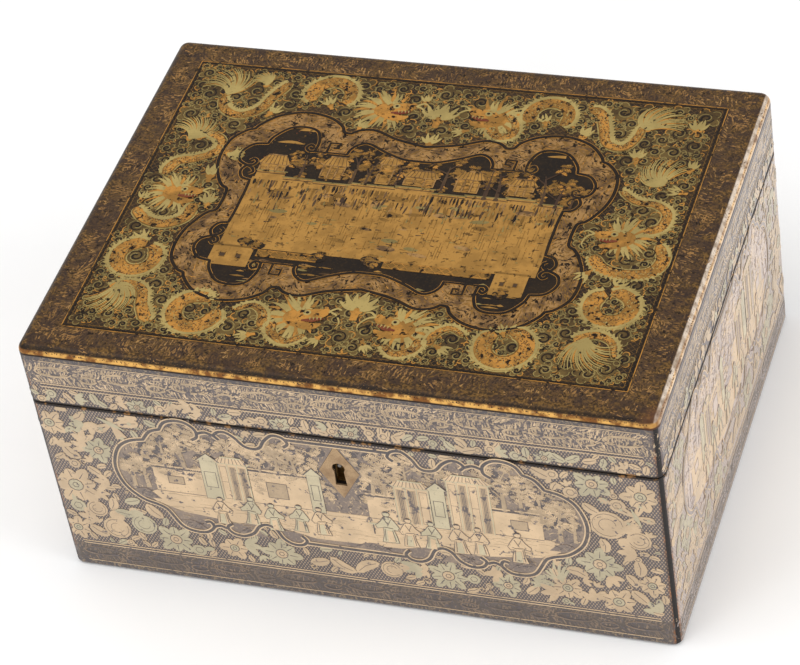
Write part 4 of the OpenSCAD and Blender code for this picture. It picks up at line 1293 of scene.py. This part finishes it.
def widened(outline, share_u, share_v):
    mid = [sum(p[i] for p in outline) / len(outline) for i in (0, 1)]
    return [(mid[0] + (u - mid[0]) * share_u, mid[1] + (v - mid[1]) * share_v) for u, v in outline]


def cartouche_scale(face):
    return HALF_OF[face] / HALF_W


def picture_outline(face):
    whole = PICTURE_HALF + mirror(PICTURE_HALF, FRONT_MID, 0)
    return [(u * cartouche_scale(face), v) for u, v in smooth(whole, 2)]


def picture_ground(face):
    """The picture's outline, on the front with a notch that leaves the escutcheon free."""
    outline = picture_outline(face)
    if face != "front":
        return outline
    mid_u, mid_v = KEY_MID
    half_u, half_v = KEY_HALF
    top = outline[0][1]
    notch = [(mid_u + 0.1, top), (mid_u + half_u + 0.1, mid_v), (mid_u, mid_v - half_v - 0.1),
             (mid_u - half_u - 0.1, mid_v), (mid_u - 0.1, top)]
    return notch + outline[1:-1]


def in_escutcheon(face, u, v):
    if face != "front":
        return False
    return abs(u - KEY_MID[0]) / (KEY_HALF[0] + 1.0) + abs(v - KEY_MID[1]) / (KEY_HALF[1] + 1.6) < 1.0


def at_hinge(face, u, v):
    """The hinges' barrels stand behind the seam, so nothing is gilded there."""
    if face != "back":
        return False
    return HINGE_NEAR - 2 < abs(u) < HINGE_FAR + 2 and HINGE_LOW - 2 < v < HINGE_HIGH + 2


def keep_strokes(brush, wanted):
    """Cuts each stroke to its first run of points that are wanted."""
    kept = []
    for points, radii, finish, level in brush.strokes:
        run = []
        for point, radius in zip(points, radii):
            if wanted(*point):
                run.append((point, radius))
            elif run:
                break
        if len(run) > 1:
            kept.append(([p for p, _ in run], [r for _, r in run], finish, level))
    brush.strokes = kept


def hem(brush, low, high, across):
    """Narrows the strokes near a field's rim, so that none lies over it."""
    for i, (points, radii, finish, level) in enumerate(brush.strokes):
        kept = [max(0.05, min(r, v - low, high - v, across - abs(u))) for (u, v), r in zip(points, radii)]
        brush.strokes[i] = (points, kept, finish, level)


def paint_end_sheen(brush, face):
    """The two ends are paler than the front: their dark tones get lighter, a painted sheen in place of the
    reflection on them.
    """
    if face not in ("left", "right"):
        return
    pale = {"side_line": "end_line", "dusk": "end_dusk", "peach_deep": "end_deep", "ink": "end_ink",
            "haze_band": "end_deep"}
    brush.strokes = [(p, r, pale.get(f, f), level) for p, r, f, level in brush.strokes]
    brush.fields = [(p, pale.get(f, f), level) for p, f, level in brush.fields]


# Groups of pieces.

def lid_border():
    brush = Brush()
    high_v, high_u = HALF_D + 1.2, HALF_W + 1.2
    for sign in (1, -1):
        for place, half, height in (
                (lambda s, t: (s, sign * (high_v - t)), HALF_W - 2, high_v - FRAME_V - 1.6),
                (lambda s, t: (sign * (high_u - t), s), HALF_D - 2, high_u - FRAME_U - 1.6)):
            along_u = half > HALF_D

            def keep(u, v):
                nearer_v = HALF_D - abs(v) < HALF_W - abs(u)
                both = abs(u) > HALF_W - EDGE_R and abs(v) > HALF_D - EDGE_R
                return nearer_v == along_u and not both
            foliage(brush, place, half, height, 36.0, 20 + sign + along_u, BORDER, 0.4, 1.2, keep)
    build_relief("lid_border_foliage", brush, FACES["top"], "lid")
    lines = Brush()
    for out, radius, finish in ((1.1, 0.28, "gold"), (0.0, 0.5, "line"), (-1.2, 0.16, "gold_deep")):
        u, v = FRAME_U + out, FRAME_V + out
        frame_line(lines, -u, u, -v, v, finish, 1, radius)
    build_relief("lid_frame_lines", lines, FACES["top"], "lid")


def lid_cartouche():
    """The ribbon band of the lid's cartouche and the dark ground in it. Returns the ground's outline."""
    outer = smooth(four_fold(BAND_OUTER), 5)
    inner = smooth(four_fold(BAND_INNER), 5)
    brush = Brush()
    brush.field(outer, "gold_band", 0)
    rng = random.Random(31)
    gap = bpy.context.scene.deed_box_relief.foliage_gap / MM
    coarse = outer[::3]
    us, vs = [p[0] for p in outer], [p[1] for p in outer]
    u = min(us)
    while u < max(us):
        v = min(vs)
        while v < max(vs):
            a, b = u + rng.uniform(-0.6, 0.6), v + rng.uniform(-0.6, 0.6)
            v += gap
            if not inside((a, b), outer) or inside((a, b), inner):
                continue
            i = min(range(len(coarse)), key=lambda k: (coarse[k][0] - a) ** 2 + (coarse[k][1] - b) ** 2)
            draw = rng.random() + 0.16 * (math.sin(0.32 * a) + math.sin(0.29 * b + 1.0))
            limits = ((0.86, "line"), (0.5, "gold_band"), (0.02, "gold_deep"))
            finish = next((finish for limit, finish in limits if draw > limit), "gold")
            turn = heading(coarse, i) + 55 * math.sin(0.2 * (a - b)) + rng.uniform(-15, 15)
            tip = reach(a, b, 1.7 + rng.random(), turn)
            if inside(tip, outer) and not inside(tip, inner):
                brush.stroke([(a, b), tip], [0.34, 0.08], finish, 1)
        u += gap
    brush.stroke(outer, 1.15, "gold", 2)
    brush.stroke(outer, 0.85, "line", 3)
    build_relief("lid_cartouche_band", brush, FACES["top"], "lid")

    brush = Brush()
    brush.field(inner, "night", 1)
    for line in [inner] + [smooth(part, 4) for scroll in BAND_SCROLLS for part in all_corners(scroll)]:
        brush.stroke(line, 1.05, "gold", 2)
        brush.stroke(line, 0.75, "line", 3)
    build_relief("lid_picture_ground", brush, FACES["top"], "lid")
    return inner


def palace_front(brush, rng):
    """The palace's long worn gold front, with its parapets, posts, streaks and patches."""
    box_field(brush, -80.0, 75.0, -33.0, 16.5, "gold_worn", 2)
    for left, right, high in PARAPETS:
        box_field(brush, left, right, 12.0, high, "gold_worn", 2)
        brush.stroke([(left - 0.8, high + 0.2), (right + 0.8, high + 0.2)], 0.4, "moss", 3)
        brush.stroke([(left, high - 1.4), (right, high - 1.4)], 0.25, "umber", 3)
    u = -78.0
    while u < 73.0:
        weight = 0.5 + 0.5 * math.sin(0.13 * u + 1.0)
        for low, high in ((8.0, 15.0), (0.0, 8.0)):
            if rng.random() < 0.9 - 0.3 * weight and (low > 5 or rng.random() < 0.65):
                foot = low + rng.uniform(0, 4)
                brush.stroke([(u, foot), (u + rng.uniform(-0.3, 0.3), (foot + high) / 2), (u, high)],
                             [0.12, rng.uniform(0.3, 0.9), rng.uniform(0.2, 0.5)],
                             rng.choice(("umber", "gold_deep", "gold_deep", "gold_band", "line")), 3)
        u += rng.uniform(0.9, 1.9)
    for _ in range(90):
        u, v = rng.uniform(-77, 72), rng.uniform(1, 13)
        disc(brush, u, v, rng.uniform(1.5, 4.0), rng.choice(("gold_deep", "gold_band", "umber")), 2,
             rng.uniform(0.2, 0.45), 90 + rng.uniform(-10, 10))
    for k in range(120):
        u, v = -78 + 1.27 * k, rng.uniform(-30, -4)
        brush.stroke([(u, v), (u, v + rng.uniform(4, 12))], 0.11, "gold_deep", 3)
    for _ in range(46):
        u, v = rng.uniform(-76, 71), rng.uniform(-27, 13)
        if rng.random() < 0.6:
            v = rng.uniform(-2, 13)
        disc(brush, u, v, rng.uniform(2.0, 5.5), rng.choice(("gold_deep", "gold_band", "moss")), 2,
             rng.uniform(0.3, 0.6), rng.uniform(-12, 12))
    for _ in range(330):
        u, v = rng.uniform(-78, 73), rng.uniform(-31, 14)
        upright = v > -6
        length = rng.uniform(1.0, 5.0 if upright else 3.0)
        turn = 90 + rng.uniform(-6, 6) if upright else rng.uniform(-12, 12)
        finish = rng.choice(("gold_deep", "gold_deep", "umber", "moss", "moss", "gold"))
        brush.stroke([(u, v), reach(u, v, length, turn)], [rng.uniform(0.15, 0.5), 0.1], finish, 3)


def palace_skyline(brush, rng):
    """Halls and trees above the palace's front, and the sky with its drifting clouds."""
    for left, right, low, high, rise in PALACE_HALLS:
        hall(brush, left, right, low, high, GROVE_HALL, 3 if right - left > 7 else 1, (), rise)
    for k in range(40):
        u, v = -60 + 3.5 * k + rng.uniform(-1.5, 1.5), 19 + rng.uniform(0, 14)
        canopy(brush, u, v, rng.uniform(2.8, 4.6), rng, GROVE, 2)
    for k, (u, low, high) in enumerate(PALACE_TREES):
        tree(brush, u, low, high, 60 + k, GROVE)
    for _ in range(90):
        u, v = rng.uniform(-80, -38), rng.uniform(24, 54)
        brush.stroke([(u, v), reach(u, v, 0.9, rng.uniform(0, 180))], [0.25, 0.1],
                     rng.choice(("umber", "russet", "gold_deep")), 2)
    for u, v, length in ((-76, 43, 14), (-68, 53, 9), (58, 51, 18), (66, 45, 10)):
        drift = smooth([(u, v), (u + length / 2, v + 0.9), (u + length, v)], 3)
        brush.stroke(drift, swell(7, 1.0), "gold_worn", 2)


def palace_foot(brush, rng):
    """Fences, two small walls with windows, shrubs and water below the palace's front."""
    for left, right, low, high in ((-60, -30, -38.0, -34.0), (2, 54, -37.0, -33.0)):
        box_field(brush, left, right, low - 0.5, high + 0.5, "gold_deep", 2)
        lattice(brush, left, right, low, high, "gold")
    for left, right, low, high in ((-82, -62, -46.5, -33.0), (56, 72, -47, -32.0)):
        box_field(brush, left, right, low, high, "gold_worn", 2)
        brush.stroke([(left - 0.8, high), (right + 0.8, high)], 0.6, "gold_deep", 3)
        wide = (right - left) / 3
        for k in (0, 1):
            a = left + wide * (0.7 + 1.2 * k)
            window = (a, a + wide * 0.4, (low + high) / 2 - 1.2, (low + high) / 2 + 1.4)
            box_field(brush, *window, "umber", 3)
            frame_line(brush, *window, "gold_deep", 4, 0.2)
    for u, v, size in ((-30, -34.5, 4.5), (-5, -33, 4.5), (-2, -36, 3.6), (-62, -31, 4.5), (-68, -29, 4.0),
                       (62, -46, 4.0)):
        canopy(brush, u, v, size, rng, GROVE, 3)
    for _ in range(80):
        u, v = rng.uniform(-70, 66), rng.uniform(-56, -40)
        length = rng.uniform(3, 11)
        brush.stroke([(u, v), (u + length / 2, v + 0.25), (u + length, v)], swell(3, rng.uniform(0.25, 0.85)),
                     rng.choice(("gold_worn", "gold_deep", "gold_band", "moss")), 2)


def lid_garden(inner):
    """A garden palace of the builder's own design, inside the cartouche's inner outline."""
    brush = Brush()
    rng = random.Random(5)
    palace_front(brush, rng)
    palace_skyline(brush, rng)
    palace_foot(brush, rng)
    window = widened(inner, 0.985, 0.98)
    keep_strokes(brush, lambda u, v: inside((u, v), window))
    build_relief("lid_garden_picture", brush, FACES["top"], "lid")


def lid_dragons():
    brush = Brush()
    for u, v, radius, start, end, count, body, side, ends in DRAGON_RINGS:
        serpent(brush, arc(u, v, radius, start, end, count), body, side, ends)
    for body, side, ends, path in DRAGON_BODIES:
        serpent(brush, path, body, side, ends)
    for u, v, size, angle, flip in DRAGON_HEADS:
        dragon_head(brush, u, v, size, angle, flip)
    for u, v, size, angle, prongs, spread in DRAGON_CLAWS:
        claw(brush, u, v, size, angle, prongs, spread)
    for u, v, length, angle, spread, curl in DRAGON_TAILS:
        tail(brush, u, v, length, angle, spread, curl)
    keep_strokes(brush, lambda u, v: abs(u) < FRAME_U - 1.4 and abs(v) < FRAME_V - 1.2)
    build_relief("lid_dragons", brush, FACES["top"], "lid")
    return brush.taken


def lid_clouds(taken):
    brush = Brush()
    brush.taken = [(u, v, 0.5 * radius) for u, v, radius in taken]
    outer = widened(smooth(four_fold(BAND_OUTER), 2), 1.012, 1.015)
    rng = random.Random(bpy.context.scene.deed_box_relief.seed)
    for size, tries in ((7.0, 1200), (5.2, 1800), (3.8, 2600), (2.6, 3600)):
        for _ in range(tries):
            u, v = rng.uniform(-FRAME_U + size, FRAME_U - size), rng.uniform(-FRAME_V + size, FRAME_V - size)
            near_band = any(inside(reach(u, v, size * 0.9, a), outer) for a in (0, 90, 180, 270))
            if near_band or inside((u, v), outer) or not brush.free(u, v, size * 0.54):
                continue
            cloud(brush, u, v, size * rng.uniform(0.95, 1.1), rng.uniform(0, 6.28))
            brush.take(u, v, size * 0.66)
    build_relief("lid_clouds", brush, FACES["top"], "lid")


def garden_walls(scene, scale):
    """Terrace, walls, gate towers, halls and windows of a side's garden."""
    scene.field([(u * scale, v) for u, v in TERRACE], "peach", 1)
    for left, right, high in ((-97, -72, 77), (-48, -12.5, 82.5), (9, 23, 76), (69, 93, 77)):
        a, b = left * scale, right * scale
        box_field(scene, a, b, 61, high, "peach", 1)
        scene.stroke([(a - 0.5, high), (b + 0.5, high)], 0.45, "side_line", 2)
        scene.stroke([(a, high + 1.2), (b, high + 1.2)], 0.45, "peach", 2)
        scene.stroke([(a, 61), (b, 61)], 0.16, "side_line", 2)
    for left, right, high in ((-72, -63.5, 86), (40.5, 48, 86), (-19, -12.5, 85)):
        a, b = left * scale, right * scale
        box_field(scene, a, b, 60, high, "sage", 2)
        scene.field([(a - 1.4, high - 0.6), (b + 1.4, high - 0.6), ((a + b) / 2, high + 4.2)], "sage", 3)
        gable = [(a - 1.6, high - 0.8), ((a + b) / 2, high + 4.3), (b + 1.6, high - 0.8)]
        scene.stroke(gable, 0.3, "side_line", 4)
        frame_line(scene, a + 1.4, b - 1.4, 68, 78, "side_line", 3, 0.2)
        frame_line(scene, a, b, 60, high - 0.6, "side_line", 3, 0.14)
    for left, right, high, bays, open_bays in ((-63, -48.5, 85, 3, (1, 2)), (23.5, 40, 84.5, 3, (0, 1)),
                                               (49.5, 69.5, 92.5, 4, (1, 3))):
        hall(scene, left * scale, right * scale, 60.5, high, SIDE, bays, open_bays, 4.2)
    for left, right, low, high in ((-40, -30, 66, 76), (-90, -82, 67, 72), (78, 86, 66, 72)):
        a, b = left * scale, right * scale
        box_field(scene, a, b, low, high, "peach_deep", 2)
        frame_line(scene, a, b, low, high, "side_line", 3, 0.2)


def garden_trees(scene, scale, rng, seed, outline):
    """Trees, fine hatching of the air between them, and loose masses of foliage."""
    for k, (u, low, high) in enumerate(GARDEN_TREES):
        tree(scene, u * scale, low, high, seed * 40 + k, GARDEN, 0.5 * scale, 1)
    for _ in range(int(1300 * scale)):
        u, v = rng.uniform(-116, 114) * scale, rng.uniform(58, 108)
        turn = rng.uniform(30, 150)
        scene.stroke([(u, v), reach(u, v, rng.uniform(1.0, 2.4), turn)], [0.3, 0.1],
                     rng.choice(("peach_deep", "side_line", "peach")), 1)
    for _ in range(160):
        u, v = rng.uniform(-110, 108) * scale, rng.uniform(70, 107)
        size = rng.uniform(4.2, 6.8)
        if inside((u, v), outline) and scene.free(u, v, size * 0.45):
            canopy(scene, u, v, size, rng, GARDEN, 1)
            scene.take(u, v, size * 0.45)


def garden_ground(scene, scale, rng):
    """Lines of the pavement, mossy rocks at the foot of the picture, and a table."""
    for _ in range(150):
        u, v = rng.uniform(-96, 94) * scale, rng.uniform(43.5, 60)
        length = rng.uniform(3, 9)
        scene.stroke([(u, v), (u + length / 2, v + 0.4), (u + length, v)], 0.12, "peach_deep", 2)
    for u, wide, high in ROCKS:
        base = 37.5 if abs(u) < 95 else 55
        a = u * scale
        mound = smooth([(a - wide, base), (a - wide * 0.5, base + high * 0.8), (a + wide * 0.2, base + high),
                        (a + wide, base)], 4)
        scene.field(mound, "dusk", 2)
        for _ in range(26):
            p = (a + rng.uniform(-0.7, 0.7) * wide, base + rng.uniform(0.3, high * 0.8))
            blade = [p, reach(*p, rng.uniform(1, 2.2), rng.uniform(-20, 60))]
            scene.stroke(blade, [0.22, 0.08], "side_line", 3)
    for a, b, c in ((-1.0, 12.0, 57.5), (0.5, 10.5, 57.0)):
        scene.stroke([(a * scale + 9, c), (b * scale + 9, c)], 0.5, "sage", 3)
    for u in (10, 19):
        scene.stroke([(u * scale, 57), (u * scale, 50.5)], 0.3, "side_line", 3)


def side_garden(brush, face, seed):
    """A walled garden of the builder's own design, with halls, trees and small robed figures."""
    scale = cartouche_scale(face)
    rng = random.Random(seed)
    outline = picture_outline(face)
    scene = Brush()
    garden_walls(scene, scale)
    garden_trees(scene, scale, rng, seed, outline)
    garden_ground(scene, scale, rng)
    for k, u in enumerate(FIGURES_WIDE if scale > 0.9 else FIGURES_NARROW):
        figure(scene, u * scale, 44.5 + rng.uniform(-1.2, 3.0), rng.uniform(18.5, 21.5), SIDE, seed * 17 + k)
    window = widened(outline[::2], 0.985, 0.975)
    keep_strokes(scene, lambda u, v: inside((u, v), window) and not in_escutcheon(face, u, v))
    fields = [f for f in scene.fields if f[2] < 2 or not any(in_escutcheon(face, *p) for p in f[0])]
    brush.strokes += scene.strokes
    brush.fields += fields


def side_cartouche(face, seed):
    scale = cartouche_scale(face)
    brush = Brush()
    brush.field(picture_ground(face), "dusk", 0)
    side_garden(brush, face, seed)
    lines = [[(-25.4, 106.1), (23.6, 106.1)], [(-25.4, 37.4), (23.6, 37.4)]]
    for part in CARTOUCHE:
        lines += [smooth(part, 4), smooth(mirror(part, FRONT_MID, 0), 4)]
    for line in lines:
        line = [(u * scale, v) for u, v in line if not at_hinge(face, u * scale, v)]
        brush.stroke(line, 1.5, "peach", 3)
        brush.stroke(line, 0.8, "ink", 4)
    keep_strokes(brush, lambda u, v: not in_escutcheon(face, u, v) and not at_hinge(face, u, v))
    paint_end_sheen(brush, face)
    build_relief(face + "_cartouche", brush, FACES[face], "body")


def side_flowers(face, seed):
    """Open flowers, fruit, butterflies and leaves on the diaper round the cartouche."""
    half = HALF_OF[face]
    scale = cartouche_scale(face)
    flip = 1 if face in ("front", "left") else -1
    stretch = scale * flip
    brush = Brush()
    rng = random.Random(seed)
    border = widened(picture_outline(face), 1.035, 1.075)
    for u, v, radius, petals, main, second in FLOWERS:
        blossom(brush, u * stretch, v, 1.28 * radius * (0.8 + 0.2 * scale), petals, main, second, "side_line",
                rng.uniform(0, 40))
    for u, v, radius, angle, main in FRUIT:
        gourd(brush, u * stretch, v, 1.2 * radius * (0.75 + 0.25 * scale), angle, main, "side_line")
    butterfly(brush, -113 * stretch, 102, 17 * scale, -28 * flip, "petal", "leafy", "side_line")
    butterfly(brush, 138 * stretch, 84, 14 * scale, 110, "petal", "leafy", "side_line")
    for turn in (35, 145):
        leaf(brush, -3 * scale, 21.5, 15, turn, 6.5, "petal", "side_line", MOTIF, 0.12)
    brush.take(-3 * scale, 25, 9)
    for k in range(7):
        leaf(brush, 99 * stretch, 34, 13 * scale + 2, 60 + 14 * k, 1.6, "leafy", None, MOTIF, 0.1)

    def keep_out(u, v):
        return abs(u) > half - 5.5 or inside((u, v), border) or at_hinge(face, u, v)
    for settings in ((5.4, 10.0, 1600, 0.0), (3.4, 5.2, 2600, 0.15)):
        spray(brush, rng, FIELD_LOW + 0.6, RIM_Z - 0.6, half, keep_out, *settings)
    limit = widened(border, 0.985, 0.96)
    keep_strokes(brush, lambda u, v: FIELD_LOW < v < RIM_Z - 1.5 and abs(u) < half - 3.0
                 and not at_hinge(face, u, v) and not inside((u, v), limit))
    hem(brush, FIELD_LOW, RIM_Z - 1.2, half - 1.2)
    paint_end_sheen(brush, face)
    build_relief(face + "_flowers", brush, FACES[face], "body")


def side_bands(face, seed):
    """Foliage bands with their double lines, and the leaf strip of the lid."""
    half = HALF_OF[face] - 1.2

    def band(brush, low, height, lines, number, palette):
        def place(s, t):
            return (s, low + t)
        foliage(brush, place, half, height, 34.0, number, palette, 0.42, 1.3)
        foliage_rings(brush, place, half, height, 34.0, palette, 0.42)
        for v, radius, finish in lines:
            brush.stroke([(-half + 2 * half * k / 40, v) for k in range(41)], radius, finish, 1)
    body = Brush()
    band(body, 4.6, 11.6, FOOT_LINES, seed, FOOT)
    paint_end_sheen(body, face)
    build_relief(face + "_foot_band", body, FACES[face], "body")
    lid = Brush()
    band(lid, 123.9, 13.6, LID_LINES, seed + 1, SIDE)
    rng = random.Random(seed + 2)
    for u in (-97, -26.5, 7.5, 98.5) if half > 120 else (-60, 4, 66):
        blossom(lid, u, 115.4, 5.4, 7, "leafy", "petal", "side_line")

    def keep_out(u, v):
        return abs(u) > half - 2 or at_hinge(face, u, v)
    spray(lid, rng, LID_Z - 0.4, STRIP_TOP, half, keep_out, 3.6, 7.2, 1500, 0.0)
    keep_strokes(lid, lambda u, v: v > LID_Z + 1.5 and not at_hinge(face, u, v))
    hem(lid, LID_Z + 1.0, BAND_TOP + 0.5, half)
    build_relief(face + "_lid_band", lid, FACES[face], "lid")


# Stage.

CAMERA_PLACE = (0.474134, -1.092064, 1.154286)
CAMERA_TURN = (23.9445, 42.2536, -10.1055)


def look(place, azimuth, elevation, roll):
    """World matrix of a camera from its place and its angles in degrees."""
    a, e, r = (math.radians(x) for x in (azimuth, elevation, roll))
    back = Vector((math.sin(a) * math.cos(e), -math.cos(a) * math.cos(e), math.sin(e)))
    right = (-back).cross(Vector((0, 0, 1))).normalized()
    up = right.cross(-back)
    x = math.cos(r) * right + math.sin(r) * up
    y = -math.sin(r) * right + math.cos(r) * up
    turned = Matrix((x, y, back)).transposed().to_4x4()
    turned.translation = Vector(place)
    return turned


def lamp(name, place, target, size, power):
    data = bpy.data.lights.new(name, "AREA")
    data.shape = "SQUARE"
    data.size = size
    data.energy = power
    lamp_object = bpy.data.objects.new(name, data)
    bpy.context.scene.collection.objects.link(lamp_object)
    lamp_object.location = place
    lamp_object.rotation_euler = (Vector(place) - Vector(target)).to_track_quat("Z", "Y").to_euler()


def make_stage():
    scene = bpy.context.scene
    settings = scene.deed_box_stage
    data = bpy.data.cameras.new("camera")
    data.lens = settings.lens
    data.sensor_width = 36
    data.clip_start, data.clip_end = 0.05, 20
    camera = bpy.data.objects.new("camera", data)
    scene.collection.objects.link(camera)
    camera.matrix_world = look(CAMERA_PLACE, *CAMERA_TURN)
    scene.camera = camera
    deselect()
    bpy.ops.mesh.primitive_plane_add(size=8, location=(0, 0, -0.0002))
    floor = bpy.context.object
    floor.name = "floor"
    shade = Shade("pale_floor")
    paper = shade.ramp(shade.noise(0.01, 2.0), 0.3, 0.7)
    tone = shade.mix(paper, (0.93, 0.93, 0.93), (0.95, 0.95, 0.95))
    floor.data.materials.append(shade.finish(tone, 0.9, 0, 0.1))
    centre = (0, 0, 0.07)
    lamp("key", (-0.9, -0.7, 1.9), centre, 1.4, settings.key)
    lamp("front", (-0.7, -2.0, 0.9), centre, 1.4, settings.fill)
    lamp("side", (2.1, -0.3, 0.7), centre, 1.4, settings.side)
    world = bpy.data.worlds.new("studio")
    scene.world = world
    world.use_nodes = True
    background = world.node_tree.nodes["Background"]
    path = world.node_tree.nodes.new("ShaderNodeLightPath")
    level = world.node_tree.nodes.new("ShaderNodeMapRange")
    level.inputs["To Min"].default_value = settings.world
    level.inputs["To Max"].default_value = 1.0
    world.node_tree.links.new(path.outputs["Is Camera Ray"], level.inputs["Value"])
    world.node_tree.links.new(level.outputs[0], background.inputs["Strength"])
    background.inputs["Color"].default_value = (1, 1, 1, 1)
    scene.view_settings.view_transform = "Standard"


def dress_frame():
    """Finishes on the CAD nodes, by the record's slots."""
    c = bpy.context.scene.deed_box_colours
    brass = metal_shade("old_brass", tuple(c.brass), linear(96, 70, 40), 0.38)
    steel = metal_shade("dull_steel", linear(150, 148, 144), linear(90, 82, 74), 0.4)
    plate = metal_shade("rubbed_plate", tuple(c.escutcheon), linear(128, 100, 74), 0.46)
    black = black_shade("inner_black")
    wide = side_shade("lacquer_front_back", 0, HALF_W, HALF_D)
    deep = side_shade("lacquer_ends", 1, HALF_D, HALF_W, 0.5)
    by_slot = {"brass": brass, "steel": steel, "escutcheon_brass": plate, "inner_lacquer": black}
    by_name = {"front_board": wide, "back_board": wide, "lid_front_rail": wide, "lid_back_rail": wide,
               "left_board": deep, "right_board": deep, "lid_left_rail": deep, "lid_right_rail": deep,
               "lid_top_board": top_shade("lacquer_top")}
    for row in frame["record"]["subparts"]:
        node = frame["nodes"][row["node"]]
        material = by_name.get(row["node"]) or by_slot[row["material_slot"]]
        if node.material_slots:
            for place in node.material_slots:
                place.material = material
        else:
            node.data.materials.append(material)


# Operators, panel and main.

class DEEDBOX_OT_stage(bpy.types.Operator):
    """Floor, lights, world and camera"""
    bl_idname = "deedbox.stage"
    bl_label = "Stage"

    def execute(self, context):
        make_stage()
        return {"FINISHED"}


class DEEDBOX_OT_finishes(bpy.types.Operator):
    """Lacquer, brass and steel on the frame's own pieces"""
    bl_idname = "deedbox.finishes"
    bl_label = "Frame finishes"

    def execute(self, context):
        dress_frame()
        return {"FINISHED"}


class DEEDBOX_OT_lid_border(bpy.types.Operator):
    """Foliage border and frame lines of the lid"""
    bl_idname = "deedbox.lid_border"
    bl_label = "Lid border"

    def execute(self, context):
        lid_border()
        return {"FINISHED"}


class DEEDBOX_OT_lid_picture(bpy.types.Operator):
    """Ribbon cartouche of the lid and the garden palace in it"""
    bl_idname = "deedbox.lid_picture"
    bl_label = "Lid picture"

    def execute(self, context):
        lid_garden(lid_cartouche())
        return {"FINISHED"}


class DEEDBOX_OT_lid_dragons(bpy.types.Operator):
    """Dragons and curled clouds round the lid's cartouche"""
    bl_idname = "deedbox.lid_dragons"
    bl_label = "Lid dragons and clouds"

    def execute(self, context):
        lid_clouds(lid_dragons())
        return {"FINISHED"}


class DEEDBOX_OT_side_pictures(bpy.types.Operator):
    """Lobed cartouches of the four sides with their garden pictures"""
    bl_idname = "deedbox.side_pictures"
    bl_label = "Side pictures"

    def execute(self, context):
        for seed, face in enumerate(HALF_OF):
            side_cartouche(face, 3 + seed)
        return {"FINISHED"}


class DEEDBOX_OT_side_flowers(bpy.types.Operator):
    """Flowers, fruit, butterflies and leaves on the four sides"""
    bl_idname = "deedbox.side_flowers"
    bl_label = "Side flowers"

    def execute(self, context):
        for seed, face in enumerate(HALF_OF):
            side_flowers(face, 71 + seed)
        return {"FINISHED"}


class DEEDBOX_OT_side_bands(bpy.types.Operator):
    """Foliage bands of the body and the lid"""
    bl_idname = "deedbox.side_bands"
    bl_label = "Side bands"

    def execute(self, context):
        for seed, face in enumerate(HALF_OF):
            side_bands(face, 101 + 5 * seed)
        return {"FINISHED"}


OPERATORS = (DEEDBOX_OT_stage, DEEDBOX_OT_finishes, DEEDBOX_OT_lid_border, DEEDBOX_OT_lid_picture,
             DEEDBOX_OT_lid_dragons, DEEDBOX_OT_side_pictures, DEEDBOX_OT_side_flowers, DEEDBOX_OT_side_bands)
GROUPS = (("deed_box_colours", DeedBoxColours), ("deed_box_relief", DeedBoxRelief),
          ("deed_box_stage", DeedBoxStage))


class DEEDBOX_PT_sidebar(bpy.types.Panel):
    bl_idname = "DEEDBOX_PT_sidebar"
    bl_label = "Deed box"
    bl_space_type = "VIEW_3D"
    bl_region_type = "UI"
    bl_category = "Deed box"

    def draw(self, context):
        for name, group in GROUPS:
            column = self.layout.column(align=True)
            for key in group.__annotations__:
                column.prop(getattr(context.scene, name), key)
        for operator in OPERATORS:
            self.layout.operator(operator.bl_idname)


def register():
    for name, group in GROUPS:
        bpy.utils.register_class(group)
        setattr(bpy.types.Scene, name, PointerProperty(type=group))
    for operator in OPERATORS:
        bpy.utils.register_class(operator)
    bpy.utils.register_class(DEEDBOX_PT_sidebar)


def unregister():
    bpy.utils.unregister_class(DEEDBOX_PT_sidebar)
    for operator in reversed(OPERATORS):
        bpy.utils.unregister_class(operator)
    for name, group in reversed(GROUPS):
        delattr(bpy.types.Scene, name)
        bpy.utils.unregister_class(group)


def main():
    register()
    for operator in OPERATORS:
        family, name = operator.bl_idname.split(".")
        getattr(getattr(bpy.ops, family), name)()
    bpy.context.view_layer.update()
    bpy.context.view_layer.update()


if __name__ == "__main__":
    main()
